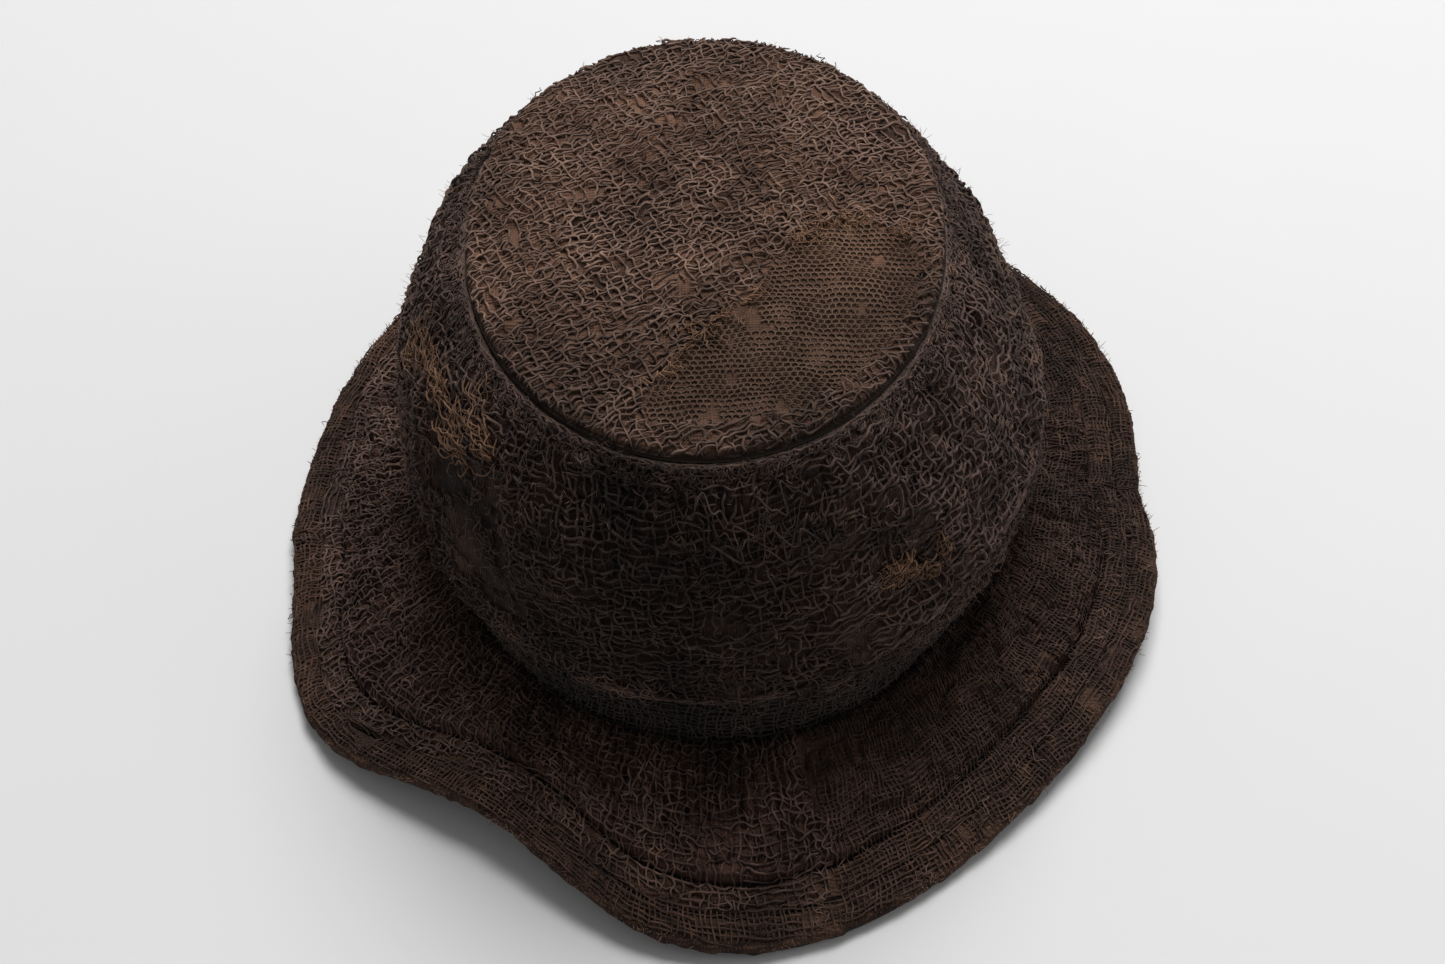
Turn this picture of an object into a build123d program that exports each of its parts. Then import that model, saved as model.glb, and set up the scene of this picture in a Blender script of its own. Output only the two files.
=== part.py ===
from build123d import *

import os
from math import cos, hypot, radians, sin

# A soft cloth hat with a round-sided crown and a wavy brim, standing crown up on its brim.
# Millimetres. +X is the wearer's left, -Y is the front, +Z is up.
# The origin is under the middle of the hat, at the height of the lowest point of the brim.

# ---------------------------------------------------------------- driving dimensions

BASE_HEIGHT = 28.0          # the seam where the crown is sewn to the brim
BAND_TOP = 56.0             # the upper edge of the hat band
TIP_HEIGHT = 131.0          # the seam between the crown's side and its tip
TIP_RISE = 5.0              # how far the tip swells above that seam
TIP_HALF_WIDTH = 68.5
TIP_HALF_LENGTH = 87.0

GAUZE = 0.7                 # open crinkled gauze, the outer layer
CLOTH = 1.1                 # the smooth cloth under it
LINING = 0.6
INTERLINING = 0.6
BRIM_CLOTH = 0.9
BINDING = 0.7               # the folded strip round the brim's edge, and the ribbon beside it
PATCH = 0.5                 # the honeycomb net on the tip

LAYER_GAP = 0.1             # between layers, which lie on each other without being joined

SEAM_MARGIN = 4.0           # how far the brim reaches in under the crown and sweatband
BINDING_WIDTH = 8.0
RIBBON_WIDTH = 8.0
RIBBON_GAP = 1.0            # the stitched groove between the binding and the ribbon
BRIM_SAG = 1.2              # how far the brim's slope bows below a straight line

SWEATBAND = 1.2
SWEATBAND_HEIGHT = 27.0
RIDGE_RISE = 0.7            # the turned-down seam allowance round the top of the crown's side
RIDGE_SPAN = (123.5, 129.5)

STITCH = (2.6, 0.6, 0.4)    # length, width and thickness of one stitch
STITCH_LIFT = 0.3           # from the cloth to the middle of a stitch

# The crown's outer face: height, then how far it reaches to -X, +X, -Y and +Y.
CROWN_RINGS = [
    (BASE_HEIGHT, 86.0, 86.0, 104.0, 104.0),
    (38.0, 87.0, 90.0, 105.0, 103.0),
    (52.0, 91.0, 97.0, 107.0, 103.0),
    (75.0, 92.0, 97.0, 106.0, 101.0),
    (100.0, 88.0, 88.0, 101.0, 98.0),
    (120.0, 78.0, 76.0, 93.0, 93.0),
    (TIP_HEIGHT, TIP_HALF_WIDTH, TIP_HALF_WIDTH, TIP_HALF_LENGTH, TIP_HALF_LENGTH),
]

# The brim's wavy edge: angle from +X towards +Y, distance from the middle, lowest height.
BRIM_STATIONS = [
    (0.0, 138.5, 3.0),
    (25.0, 149.5, 6.0),
    (50.0, 155.0, 3.0),
    (70.0, 157.0, 0.0),
    (90.0, 158.5, 2.0),
    (110.0, 157.0, 5.0),
    (132.0, 152.0, 4.0),
    (155.0, 144.5, 1.0),
    (180.0, 141.0, 0.0),
    (200.0, 145.0, 0.0),
    (218.0, 146.0, 5.0),
    (233.0, 138.0, 12.0),
    (248.0, 143.5, 11.0),
    (264.0, 158.0, 3.0),
    (282.0, 156.5, 0.0),
    (300.0, 147.5, 1.0),
    (320.0, 143.0, 4.0),
    (340.0, 143.0, 6.0),
]
BACK_HALF = BRIM_STATIONS[:9]
FRONT_HALF = BRIM_STATIONS[8:] + [(360.0, 138.5, 3.0)]
BEFORE_BACK = (-20.0, 143.0, 6.0)
AFTER_BACK = (200.0, 145.0, 0.0)
BEFORE_FRONT = (155.0, 144.5, 1.0)
AFTER_FRONT = (385.0, 149.5, 6.0)

# The brim's layers, lower and upper face, from the height of its top cloth's upper face down.
TOP_CLOTH_SPAN = (-BRIM_CLOTH, -LAYER_GAP)
INTERLINING_SPAN = (-BRIM_CLOTH - INTERLINING, -BRIM_CLOTH - LAYER_GAP)
UNDER_CLOTH_SPAN = (INTERLINING_SPAN[0] - BRIM_CLOTH, INTERLINING_SPAN[0] - LAYER_GAP)
BRIM_THICKNESS = LAYER_GAP - UNDER_CLOTH_SPAN[0]

CLOTH_INSET = GAUZE
LINING_INSET = GAUZE + CLOTH
SWEATBAND_INSET = GAUZE + CLOTH + LINING


# ---------------------------------------------------------------- outlines

def oval(height, left, right, front, back, inset=0.0):
    """A closed level outline of four quarter ellipses, drawn in from its outer size."""
    x_radii = (right, left, left, right)
    y_radii = (back, back, front, front)
    with BuildSketch(Plane.XY.offset(height)) as outline:
        with BuildLine():
            for quarter in range(4):
                EllipticalCenterArc(
                    (0, 0),
                    x_radii[quarter] - inset,
                    y_radii[quarter] - inset,
                    start_angle=90 * quarter,
                    arc_size=90,
                )
        make_face()
    return outline.sketch


def crown_outlines(inset):
    """The outlines that the crown's side is lofted through."""
    return [oval(*ring, inset=inset) for ring in CROWN_RINGS]


def oval_radius(angle, half_width, half_length):
    """Distance from the middle of an ellipse to its line, at an angle from +X."""
    across = half_length * cos(radians(angle))
    along = half_width * sin(radians(angle))
    return half_width * half_length / hypot(across, along)


class BrimSection:
    """The brim's slope along one radius: level under the crown, then a shallow sagging curve."""

    def __init__(self, angle, edge, lowest):
        self.angle = angle
        self.root = oval_radius(angle, CROWN_RINGS[0][1], CROWN_RINGS[0][3])
        self.edge = edge - BINDING
        self.edge_height = lowest + BINDING + BRIM_THICKNESS

    def height(self, reach):
        """Height of the top cloth's upper face at a distance from the middle."""
        part = (reach - self.root) / (self.edge - self.root)
        straight = BASE_HEIGHT + (self.edge_height - BASE_HEIGHT) * part
        return straight - 4 * BRIM_SAG * part * (1 - part)

    def slope(self, reach):
        """Rise of the upper face for each millimetre outwards."""
        span = self.edge - self.root
        part = (reach - self.root) / span
        return (self.edge_height - BASE_HEIGHT - 4 * BRIM_SAG * (1 - 2 * part)) / span

    def curve(self, start, end, lift):
        """Control points of the slope from one distance to another, raised by lift."""
        middle = (start + end) / 2
        middle_height = self.height(start) + self.slope(start) * (middle - start)
        return [
            (start, self.height(start) + lift),
            (middle, middle_height + lift),
            (end, self.height(end) + lift),
        ]

    def plane(self):
        """The upright plane of this section, with its local x outwards and its local y up."""
        turn = radians(self.angle)
        return Plane(
            origin=(0, 0, 0),
            x_dir=(cos(turn), sin(turn), 0),
            z_dir=(sin(turn), -cos(turn), 0),
        )


def layer_outline(section, low, high):
    """A whole layer of the brim, from its seam margin under the crown to its edge."""
    inner = section.root - SEAM_MARGIN
    with BuildSketch(section.plane()) as outline:
        with BuildLine():
            Polyline((section.root, BASE_HEIGHT + low), (inner, BASE_HEIGHT + low),
                     (inner, BASE_HEIGHT + high), (section.root, BASE_HEIGHT + high))
            Bezier(*section.curve(section.root, section.edge, high))
            Line((section.edge, section.edge_height + high), (section.edge, section.edge_height + low))
            Bezier(*section.curve(section.edge, section.root, low))
        make_face()
    return outline.sketch


def strip_outline(section, start, end, low, high):
    """A strip that lies on the brim between two distances from the middle."""
    lower = section.curve(start, end, low)
    upper = section.curve(end, start, high)
    with BuildSketch(section.plane()) as outline:
        with BuildLine():
            Bezier(*lower)
            Line(lower[-1], upper[0])
            Bezier(*upper)
            Line(upper[-1], lower[0])
        make_face()
    return outline.sketch


def binding_outline(section):
    """The binding's C shape: a leaf above the brim, a leaf below it and the fold round its edge."""
    inner = section.edge - BINDING_WIDTH
    under = -BRIM_THICKNESS
    upper = section.curve(inner, section.edge, BINDING)
    lower = section.curve(section.edge, inner, under - BINDING)
    lower_inside = section.curve(inner, section.edge, under)
    upper_inside = section.curve(section.edge, inner, 0.0)
    fold_top = (section.edge + BINDING, upper[-1][1] - BINDING)
    fold_bottom = (section.edge + BINDING, lower[0][1] + BINDING)
    with BuildSketch(section.plane()) as outline:
        with BuildLine():
            Bezier(*upper)
            Line(upper[-1], fold_top)
            Line(fold_top, fold_bottom)
            Line(fold_bottom, lower[0])
            Bezier(*lower)
            Line(lower[-1], lower_inside[0])
            Bezier(*lower_inside)
            Line(lower_inside[-1], upper_inside[0])
            Bezier(*upper_inside)
            Line(upper_inside[-1], upper[0])
        make_face()
    return outline.sketch


def back_sections():
    """Sections of the brim's back half, with one more past each end to carry the curve on."""
    stations = [BEFORE_BACK] + BACK_HALF + [AFTER_BACK]
    return [BrimSection(*station) for station in stations]


def front_sections():
    """Sections of the brim's front half, with one more past each end to carry the curve on."""
    stations = [BEFORE_FRONT] + FRONT_HALF + [AFTER_FRONT]
    return [BrimSection(*station) for station in stations]


def finish(part, name):
    """Label a finished piece and write it."""
    part.label = name
    export_step(part, f"parts/{name}.step")


os.makedirs("parts", exist_ok=True)

# ---------------------------------------------------------------- crown side

with BuildPart() as gauze_shell:
    loft(sections=crown_outlines(0.0))
    loft(sections=crown_outlines(CLOTH_INSET - LAYER_GAP), mode=Mode.SUBTRACT)

with BuildPart() as cloth_shell:
    loft(sections=crown_outlines(CLOTH_INSET))
    loft(sections=crown_outlines(LINING_INSET - LAYER_GAP), mode=Mode.SUBTRACT)

with BuildPart() as lining_shell:
    loft(sections=crown_outlines(LINING_INSET))
    loft(sections=crown_outlines(SWEATBAND_INSET - LAYER_GAP), mode=Mode.SUBTRACT)

# The outer gauze stops at the hat band, which carries on down to the brim in its place.
with BuildPart() as crown_gauze:
    add(gauze_shell.part)
    split(bisect_by=Plane.XY.offset(BAND_TOP), keep=Keep.TOP)

with BuildPart() as hat_band:
    add(gauze_shell.part)
    split(bisect_by=Plane.XY.offset(BAND_TOP), keep=Keep.BOTTOM)
finish(hat_band.part, "hat_band")

# Each layer is cut as a front and a back panel, joined down the two sides.
CROWN_PANELS = [
    ("gauze", crown_gauze.part),
    ("cloth", cloth_shell.part),
    ("lining", lining_shell.part),
]
for layer, shell in CROWN_PANELS:
    for side, kept in (("front", Keep.TOP), ("back", Keep.BOTTOM)):
        with BuildPart() as panel:
            add(shell)
            split(bisect_by=Plane.XZ, keep=kept)
        finish(panel.part, f"crown_{side}_{layer}")

# ---------------------------------------------------------------- crown tip

def tip_outline(bottom, thickness):
    """Half section of a shallow dome, before it is drawn out to the tip's oval."""
    rim = TIP_HEIGHT + bottom
    crest = rim + TIP_RISE
    bow = rim + TIP_RISE * 0.75
    half = TIP_HALF_WIDTH / 2
    with BuildSketch(Plane.XZ) as outline:
        with BuildLine():
            ThreePointArc((TIP_HALF_WIDTH, rim), (half, bow), (0, crest))
            Line((0, crest), (0, crest + thickness))
            ThreePointArc((0, crest + thickness), (half, bow + thickness),
                          (TIP_HALF_WIDTH, rim + thickness))
            Line((TIP_HALF_WIDTH, rim + thickness), (TIP_HALF_WIDTH, rim))
        make_face()
    return outline.sketch


def tip_layer(bottom, thickness):
    """One layer of the tip, as an oval dome of even thickness."""
    with BuildPart() as dome:
        add(tip_outline(bottom, thickness))
        revolve(axis=Axis.Z)
        scale(by=(1, TIP_HALF_LENGTH / TIP_HALF_WIDTH, 1))
    return dome.part


TIP_LAYERS = [
    ("crown_tip_lining", LAYER_GAP, LINING - LAYER_GAP),
    ("crown_tip_cloth", LINING + LAYER_GAP, CLOTH - LAYER_GAP),
    ("crown_tip_gauze", LINING + CLOTH + LAYER_GAP, GAUZE - LAYER_GAP),
]
for name, bottom, thickness in TIP_LAYERS:
    finish(tip_layer(bottom, thickness), name)

# The honeycomb net lies on the right and front of the tip.
PATCH_OUTLINE = [
    (-18, -70), (-8, -52), (11, -33), (24, -14), (44, -5), (57, -14), (56, -34), (44, -55), (26, -70), (2, -76),
]
PATCH_BASE = LINING + CLOTH + GAUZE + LAYER_GAP

with BuildPart() as tip_net_patch:
    add(tip_layer(PATCH_BASE, PATCH))
    with BuildSketch(Plane.XY.offset(TIP_HEIGHT)):
        with BuildLine():
            Spline(*PATCH_OUTLINE, periodic=True)
        make_face()
    extrude(amount=3 * TIP_RISE, mode=Mode.INTERSECT)
finish(tip_net_patch.part, "tip_net_patch")

# ---------------------------------------------------------------- trim on the crown

with BuildPart() as raised_shell:
    loft(sections=crown_outlines(-RIDGE_RISE))
    loft(sections=crown_outlines(-LAYER_GAP), mode=Mode.SUBTRACT)

with BuildPart() as tip_seam_ridge:
    add(raised_shell.part)
    split(bisect_by=Plane.XY.offset(RIDGE_SPAN[0]), keep=Keep.TOP)
    split(bisect_by=Plane.XY.offset(RIDGE_SPAN[1]), keep=Keep.BOTTOM)
finish(tip_seam_ridge.part, "tip_seam_ridge")

# Bundles of loose yarn lie against the crown as soft lumps of an even height.
TUFT_RISE = 2.6
TUFTS = [
    ("left_yarn_tuft", 212.0, 113.0, 52.0, 12.0),
    ("front_yarn_tuft", 303.0, 84.0, 22.0, 10.0),
]

with BuildPart() as tuft_shell:
    loft(sections=crown_outlines(-TUFT_RISE))
    loft(sections=crown_outlines(-LAYER_GAP), mode=Mode.SUBTRACT)

for name, angle, height, length, depth in TUFTS:
    heading = (cos(radians(angle)), sin(radians(angle)), 0)
    across = (-sin(radians(angle)), cos(radians(angle)), 0)
    with BuildPart() as tuft:
        add(tuft_shell.part)
        with BuildSketch(Plane(origin=(0, 0, height), x_dir=across, z_dir=heading)):
            Ellipse(length / 2, depth / 2)
        extrude(amount=TIP_HEIGHT, mode=Mode.INTERSECT)
    finish(tuft.part, name)

# ---------------------------------------------------------------- sweatband

with BuildPart() as sweatband:
    extrude(oval(*CROWN_RINGS[0], inset=SWEATBAND_INSET + LAYER_GAP), amount=SWEATBAND_HEIGHT)
    extrude(
        oval(*CROWN_RINGS[0], inset=SWEATBAND_INSET + SWEATBAND),
        amount=SWEATBAND_HEIGHT,
        mode=Mode.SUBTRACT,
    )
finish(sweatband.part, "sweatband")

# ---------------------------------------------------------------- brim

BRIM_LAYERS = [
    ("top_cloth", TOP_CLOTH_SPAN),
    ("interlining", INTERLINING_SPAN),
    ("under_cloth", UNDER_CLOTH_SPAN),
]
BRIM_HALVES = [
    ("front", front_sections(), Keep.TOP),
    ("back", back_sections(), Keep.BOTTOM),
]
brim_parts = {}


def brim_half(name, outlines, kept):
    """Loft outlines round half of the brim, trim them at the side seams and write the piece."""
    with BuildPart() as strip:
        loft(sections=outlines)
        split(bisect_by=Plane.XZ, keep=kept)
    finish(strip.part, name)
    brim_parts[name] = strip.part


for side, sections, kept in BRIM_HALVES:
    for layer, (low, high) in BRIM_LAYERS:
        brim_half(f"brim_{side}_{layer}", [layer_outline(each, low, high) for each in sections], kept)
    brim_half(f"brim_{side}_binding", [binding_outline(each) for each in sections], kept)
    ribbon_edge = BINDING_WIDTH + RIBBON_GAP
    ribbon = [
        strip_outline(each, each.edge - ribbon_edge - RIBBON_WIDTH, each.edge - ribbon_edge, 0.0, BINDING)
        for each in sections
    ]
    brim_half(f"brim_{side}_hem_ribbon", ribbon, kept)

# A loose gauze overlay covers the brim's left side and front, as far as the hem ribbon.
OVERLAY_STATIONS = BRIM_STATIONS[6:15]
OVERLAY_GAP = 1.5           # clear of the crown, and of the ribbon
OVERLAY_LIFT = 0.15

overlay_outlines = []
for station in OVERLAY_STATIONS:
    section = BrimSection(*station)
    overlay_end = section.edge - BINDING_WIDTH - RIBBON_GAP - RIBBON_WIDTH - OVERLAY_GAP
    overlay_outlines.append(
        strip_outline(section, section.root + OVERLAY_GAP, overlay_end, OVERLAY_LIFT, OVERLAY_LIFT + GAUZE)
    )
with BuildPart() as brim_left_gauze:
    loft(sections=overlay_outlines)
finish(brim_left_gauze.part, "brim_left_gauze")

# ---------------------------------------------------------------- stitches

def highest_hit(part, x, y):
    """The highest point of a part above (x, y), and the part's normal there."""
    drop = Axis((x, y, 2 * TIP_HEIGHT), (0, 0, -1))
    hits = part.shells()[0].find_intersection_points(drop)
    return max(hits, key=lambda hit: hit[0].Z) if hits else None


def side_hit(part, angle, height, outermost=True):
    """The outermost or innermost point of a ring-shaped part, looking along one direction."""
    turn = radians(angle)
    axis = Axis((0, 0, height), (cos(turn), sin(turn), 0))
    hits = part.shells()[0].find_intersection_points(axis)
    ahead = [hit for hit in hits if hit[0].X * cos(turn) + hit[0].Y * sin(turn) > 0]
    pick = max if outermost else min
    return pick(ahead, key=lambda hit: hypot(hit[0].X, hit[0].Y)) if ahead else None


def stitch_row(name, seats):
    """A row of separate stitches, each lying along the row on the cloth's face."""
    places = []
    for point, normal, angle in seats:
        along = Vector(-sin(radians(angle)), cos(radians(angle)), 0)
        centre = point + normal.normalized() * STITCH_LIFT
        places.append(Plane(origin=centre, x_dir=along, z_dir=normal).location)
    with BuildPart() as row:
        with Locations(*places):
            Box(*STITCH)
    finish(row.part, name)


def turned_out(normal, angle):
    """A face normal, flipped if need be to point away from the middle."""
    outward = Vector(cos(radians(angle)), sin(radians(angle)), 0)
    return normal if normal.dot(outward) > 0 else -normal


TIP_STITCHES = 96
BAND_STITCHES = 96
SWEATBAND_STITCHES = 64
HEM_STITCHES = 144
SEAM_OFFSET = 2.5           # from a row of stitches to the edge that it holds
SEARCH_ROOM = 4.0           # how far short of a strip the search for its inner edge starts
SEARCH_STEP = 0.5

ridge_middle = sum(RIDGE_SPAN) / 2
seats = []
for number in range(TIP_STITCHES):
    angle = 360 * (number + 0.5) / TIP_STITCHES
    point, normal = side_hit(tip_seam_ridge.part, angle, ridge_middle)
    seats.append((point, turned_out(normal, angle), angle))
stitch_row("tip_seam_stitches", seats)

seats = []
for number in range(BAND_STITCHES):
    angle = 360 * (number + 0.5) / BAND_STITCHES
    point, normal = side_hit(crown_gauze.part, angle, BAND_TOP + SEAM_OFFSET)
    seats.append((point, turned_out(normal, angle), angle))
stitch_row("band_seam_stitches", seats)

seats = []
for number in range(SWEATBAND_STITCHES):
    angle = 360 * (number + 0.5) / SWEATBAND_STITCHES
    point, normal = side_hit(sweatband.part, angle, BASE_HEIGHT + SEAM_OFFSET, outermost=False)
    seats.append((point, -turned_out(normal, angle), angle))
stitch_row("sweatband_stitches", seats)


def edge_near(angle):
    """Roughly how far out the brim's edge lies, in one direction."""
    around = BRIM_STATIONS + [FRONT_HALF[-1]]
    for (start, near, _), (end, far, _) in zip(around, around[1:]):
        if start <= angle <= end:
            return near + (far - near) * (angle - start) / (end - start)
    return BRIM_STATIONS[0][1]


def inner_edge(strip, angle, start):
    """How far out the inner edge of a strip lies, in one direction, searching outwards."""
    turn = radians(angle)
    reach = start
    while highest_hit(strip, reach * cos(turn), reach * sin(turn)) is None:
        reach += SEARCH_STEP
    return reach


def hem_seats(layer, distance):
    """Seats for a row of stitches along a strip's inner edge, a distance in from the brim's."""
    found = []
    for number in range(HEM_STITCHES):
        angle = 360 * (number + 0.5) / HEM_STITCHES
        turn = radians(angle)
        strip = brim_parts[f"brim_{'back' if angle < 180 else 'front'}_{layer}"]
        start = edge_near(angle) - distance - SEARCH_ROOM
        reach = inner_edge(strip, angle, start) + SEAM_OFFSET
        point, normal = highest_hit(strip, reach * cos(turn), reach * sin(turn))
        found.append((point, normal if normal.Z > 0 else -normal, angle))
    return found


stitch_row("binding_stitches", hem_seats("binding", BINDING_WIDTH))
stitch_row("hem_ribbon_stitches", hem_seats("hem_ribbon", BINDING_WIDTH + RIBBON_GAP + RIBBON_WIDTH))
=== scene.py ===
"""The looks of a soft, crinkled cloth hat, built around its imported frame.

Lengths are metres. Left and right are as seen from in front of the hat, so right is +X and the front is -Y.
"""

import logging
import math
from dataclasses import dataclass
from enum import Enum
from typing import Any, Callable, Sequence

import bpy
import numpy as np
from mathutils import Matrix, Vector
from mathutils.bvhtree import BVHTree


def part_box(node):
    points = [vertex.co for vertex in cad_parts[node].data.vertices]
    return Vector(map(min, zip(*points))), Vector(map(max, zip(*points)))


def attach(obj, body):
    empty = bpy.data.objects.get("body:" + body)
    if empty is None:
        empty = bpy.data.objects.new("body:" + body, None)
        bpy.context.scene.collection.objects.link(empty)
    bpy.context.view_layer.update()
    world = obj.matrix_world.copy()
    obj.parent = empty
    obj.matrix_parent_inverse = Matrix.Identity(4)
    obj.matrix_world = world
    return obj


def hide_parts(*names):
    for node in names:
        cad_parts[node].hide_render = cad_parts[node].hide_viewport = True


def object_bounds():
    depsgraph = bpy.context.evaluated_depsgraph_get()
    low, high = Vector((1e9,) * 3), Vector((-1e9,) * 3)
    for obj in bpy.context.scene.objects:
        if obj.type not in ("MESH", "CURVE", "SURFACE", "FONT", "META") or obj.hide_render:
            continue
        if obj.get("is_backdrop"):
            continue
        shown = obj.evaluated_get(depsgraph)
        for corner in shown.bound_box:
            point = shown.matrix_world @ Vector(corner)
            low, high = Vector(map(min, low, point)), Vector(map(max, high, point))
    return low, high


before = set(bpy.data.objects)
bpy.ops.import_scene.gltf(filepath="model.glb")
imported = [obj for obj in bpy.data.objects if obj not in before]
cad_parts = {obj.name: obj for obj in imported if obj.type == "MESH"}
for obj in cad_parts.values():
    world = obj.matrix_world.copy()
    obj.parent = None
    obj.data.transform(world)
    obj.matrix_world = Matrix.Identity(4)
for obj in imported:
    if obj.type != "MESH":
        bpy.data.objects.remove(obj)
CAD_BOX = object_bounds()

MM = 0.001
TURN = 2 * math.pi
BEYOND = 0.3        # farther from the middle than any part of the hat
NEAR_AXIS = 0.02    # well inside the head opening
TINY = 1e-12        # keeps a division from failing on a direction of no length
Colour = tuple[float, float, float]
Array = np.ndarray
Height = Callable[[Array, Array], Array]
Test = Callable[[Array, Array], Array]
LOG = logging.getLogger("hat")


# ---------------- noise and interpolation


class Grain:
    """Smooth seeded noise over a plane, between about -1 and 1.

    Args:
        seed: picks the noise, and the same seed always gives the same noise.
    """

    CELLS = 257
    GAIN = 1.3      # brings the blended values back to about the full range

    def __init__(self, seed: int) -> None:
        self.lattice = np.random.default_rng(seed).uniform(-1, 1, (self.CELLS, self.CELLS))

    def at(self, x: Array, y: Array, size: float, around: float = 0.0) -> Array:
        """Noise at some places.

        Args:
            x: first coordinates.
            y: second coordinates.
            size: width of one feature.
            around: length after which x comes round to where it began, or 0.

        Returns:
            One value for each place.
        """
        count = max(3, round(around / size)) if around else self.CELLS
        u = x / around * count if around else x / size
        v = y / size
        i, j = np.floor(u).astype(int), np.floor(v).astype(int)
        fu, fv = u - i, v - j
        fu, fv = fu * fu * (3 - 2 * fu), fv * fv * (3 - 2 * fv)
        left, right = (i % count) % self.CELLS, ((i + 1) % count) % self.CELLS
        low, high = j % self.CELLS, (j + 1) % self.CELLS
        bottom = self.lattice[left, low] * (1 - fu) + self.lattice[right, low] * fu
        top = self.lattice[left, high] * (1 - fu) + self.lattice[right, high] * fu
        return (bottom * (1 - fv) + top * fv) * self.GAIN


def smooth(low: float, high: float, value: Array) -> Array:
    """0 below low, 1 above high and a smooth rise between, for each value."""
    part = np.clip((value - low) / (high - low), 0, 1)
    return part * part * (3 - 2 * part)


class Table:
    """A grid of numbers that is read between its entries along smooth curves.

    Args:
        values: rows that go round the hat, each from its inner or lower end to its other end.
    """

    def __init__(self, values: Array) -> None:
        self.values = values

    @staticmethod
    def _weights(part: Array) -> list[Array]:
        """Catmull-Rom weights of the four entries round each place."""
        square, cube = part * part, part * part * part
        return [
            (2 * square - cube - part) / 2,
            (3 * cube - 5 * square + 2) / 2,
            (4 * square - 3 * cube + part) / 2,
            (cube - square) / 2,
        ]

    def at(self, turn: Array, along: Array) -> Array:
        """Values at some places.

        Args:
            turn: angles from +X, in radians.
            along: shares of each row, from 0 to 1.

        Returns:
            One value for each place.
        """
        rows, columns = self.values.shape
        u = (turn / TURN % 1.0) * rows
        v = np.clip(along, 0, 1) * (columns - 1)
        i, j = np.floor(u).astype(int), np.minimum(np.floor(v).astype(int), columns - 2)
        across, onward = self._weights(u - i), self._weights(v - j)
        total = np.zeros(np.broadcast(turn, along).shape)
        for a in range(4):
            row = (i + a - 1) % rows
            for b in range(4):
                column = np.clip(j + b - 1, 0, columns - 1)
                total = total + across[a] * onward[b] * self.values[row, column]
        return total


# ---------------- the frame's surfaces


class Frame:
    """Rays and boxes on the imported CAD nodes."""

    def __init__(self, *nodes: str) -> None:
        self.trees = []
        for node in nodes:
            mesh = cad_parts[node].data
            corners = [vertex.co.copy() for vertex in mesh.vertices]
            self.trees.append(BVHTree.FromPolygons(corners, [tuple(f.vertices) for f in mesh.polygons]))

    def hit(self, start: Sequence[float], heading: Sequence[float]) -> Vector | None:
        """The first point that a ray meets on any of the nodes."""
        nearest, best = None, math.inf
        for tree in self.trees:
            place, _, _, far = tree.ray_cast(Vector(start), Vector(heading))
            if place is not None and far < best:
                nearest, best = place, far
        return nearest


class Surface:
    """A face of the hat with two coordinates, that pieces are laid on."""

    STEP = 2e-4

    def point(self, a: Array, b: Array) -> Array:
        """Places on the face."""
        raise NotImplementedError

    def flat(self, a: Array, b: Array) -> tuple[Array, Array, float]:
        """Roughly unrolled coordinates, in metres, and the length round, or 0."""
        raise NotImplementedError

    def frame_at(self, a: Array, b: Array, step_a: float, step_b: float) -> tuple[Array, Array]:
        """Places and outward unit normals, from small changes of both coordinates."""
        here = self.point(a, b)
        normal = np.cross(self.point(a + step_a, b) - here, self.point(a, b + step_b) - here)
        return here, normal / np.maximum(np.linalg.norm(normal, axis=-1, keepdims=True), TINY)

    def place(self, a: Array, b: Array) -> tuple[Array, Array]:
        """Places and outward unit normals."""
        return self.frame_at(a, b, self.STEP, self.STEP)

    def lift(self, a: Array, b: Array, height: Array) -> Array:
        """Places raised off the face along its normals."""
        here, normal = self.place(a, b)
        return here + normal * np.asarray(height)[..., None]

    def spread(self, s: Array, b: Array) -> tuple[Array, Array]:
        """Places and normals at unrolled coordinates."""
        return self.place(s, b)


class TipSurface(Surface):
    """The shallow oval dome of the tip. Its coordinates are x and y."""

    SAMPLES = 40
    RIM = 0.995     # the outermost share that still meets the shell

    def __init__(self, node: str, above: bool = True) -> None:
        low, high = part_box(node)
        self.half = np.array([(high.x - low.x) / 2, (high.y - low.y) / 2])
        shell = Frame(node)
        sign = 1 if above else -1
        heights = []
        for share in np.linspace(0, self.RIM, self.SAMPLES):
            spot = shell.hit((share * self.half[0], 0, high.z * sign * 2), (0, 0, -sign))
            heights.append(spot.z)
        self.heights = np.array(heights)

    def share(self, x: Array, y: Array) -> Array:
        """How far out a place is, from 0 in the middle to 1 at the seam."""
        return np.hypot(x / self.half[0], y / self.half[1])

    def point(self, a: Array, b: Array) -> Array:
        """Places on the dome."""
        share = np.clip(self.share(a, b), 0, self.RIM) / self.RIM * (self.SAMPLES - 1)
        low = np.minimum(share.astype(int), self.SAMPLES - 2)
        part = share - low
        z = self.heights[low] * (1 - part) + self.heights[low + 1] * part
        return np.stack([a, b, z], -1)

    def flat(self, a: Array, b: Array) -> tuple[Array, Array, float]:
        """x and y as they are."""
        return a, b, 0.0


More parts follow.
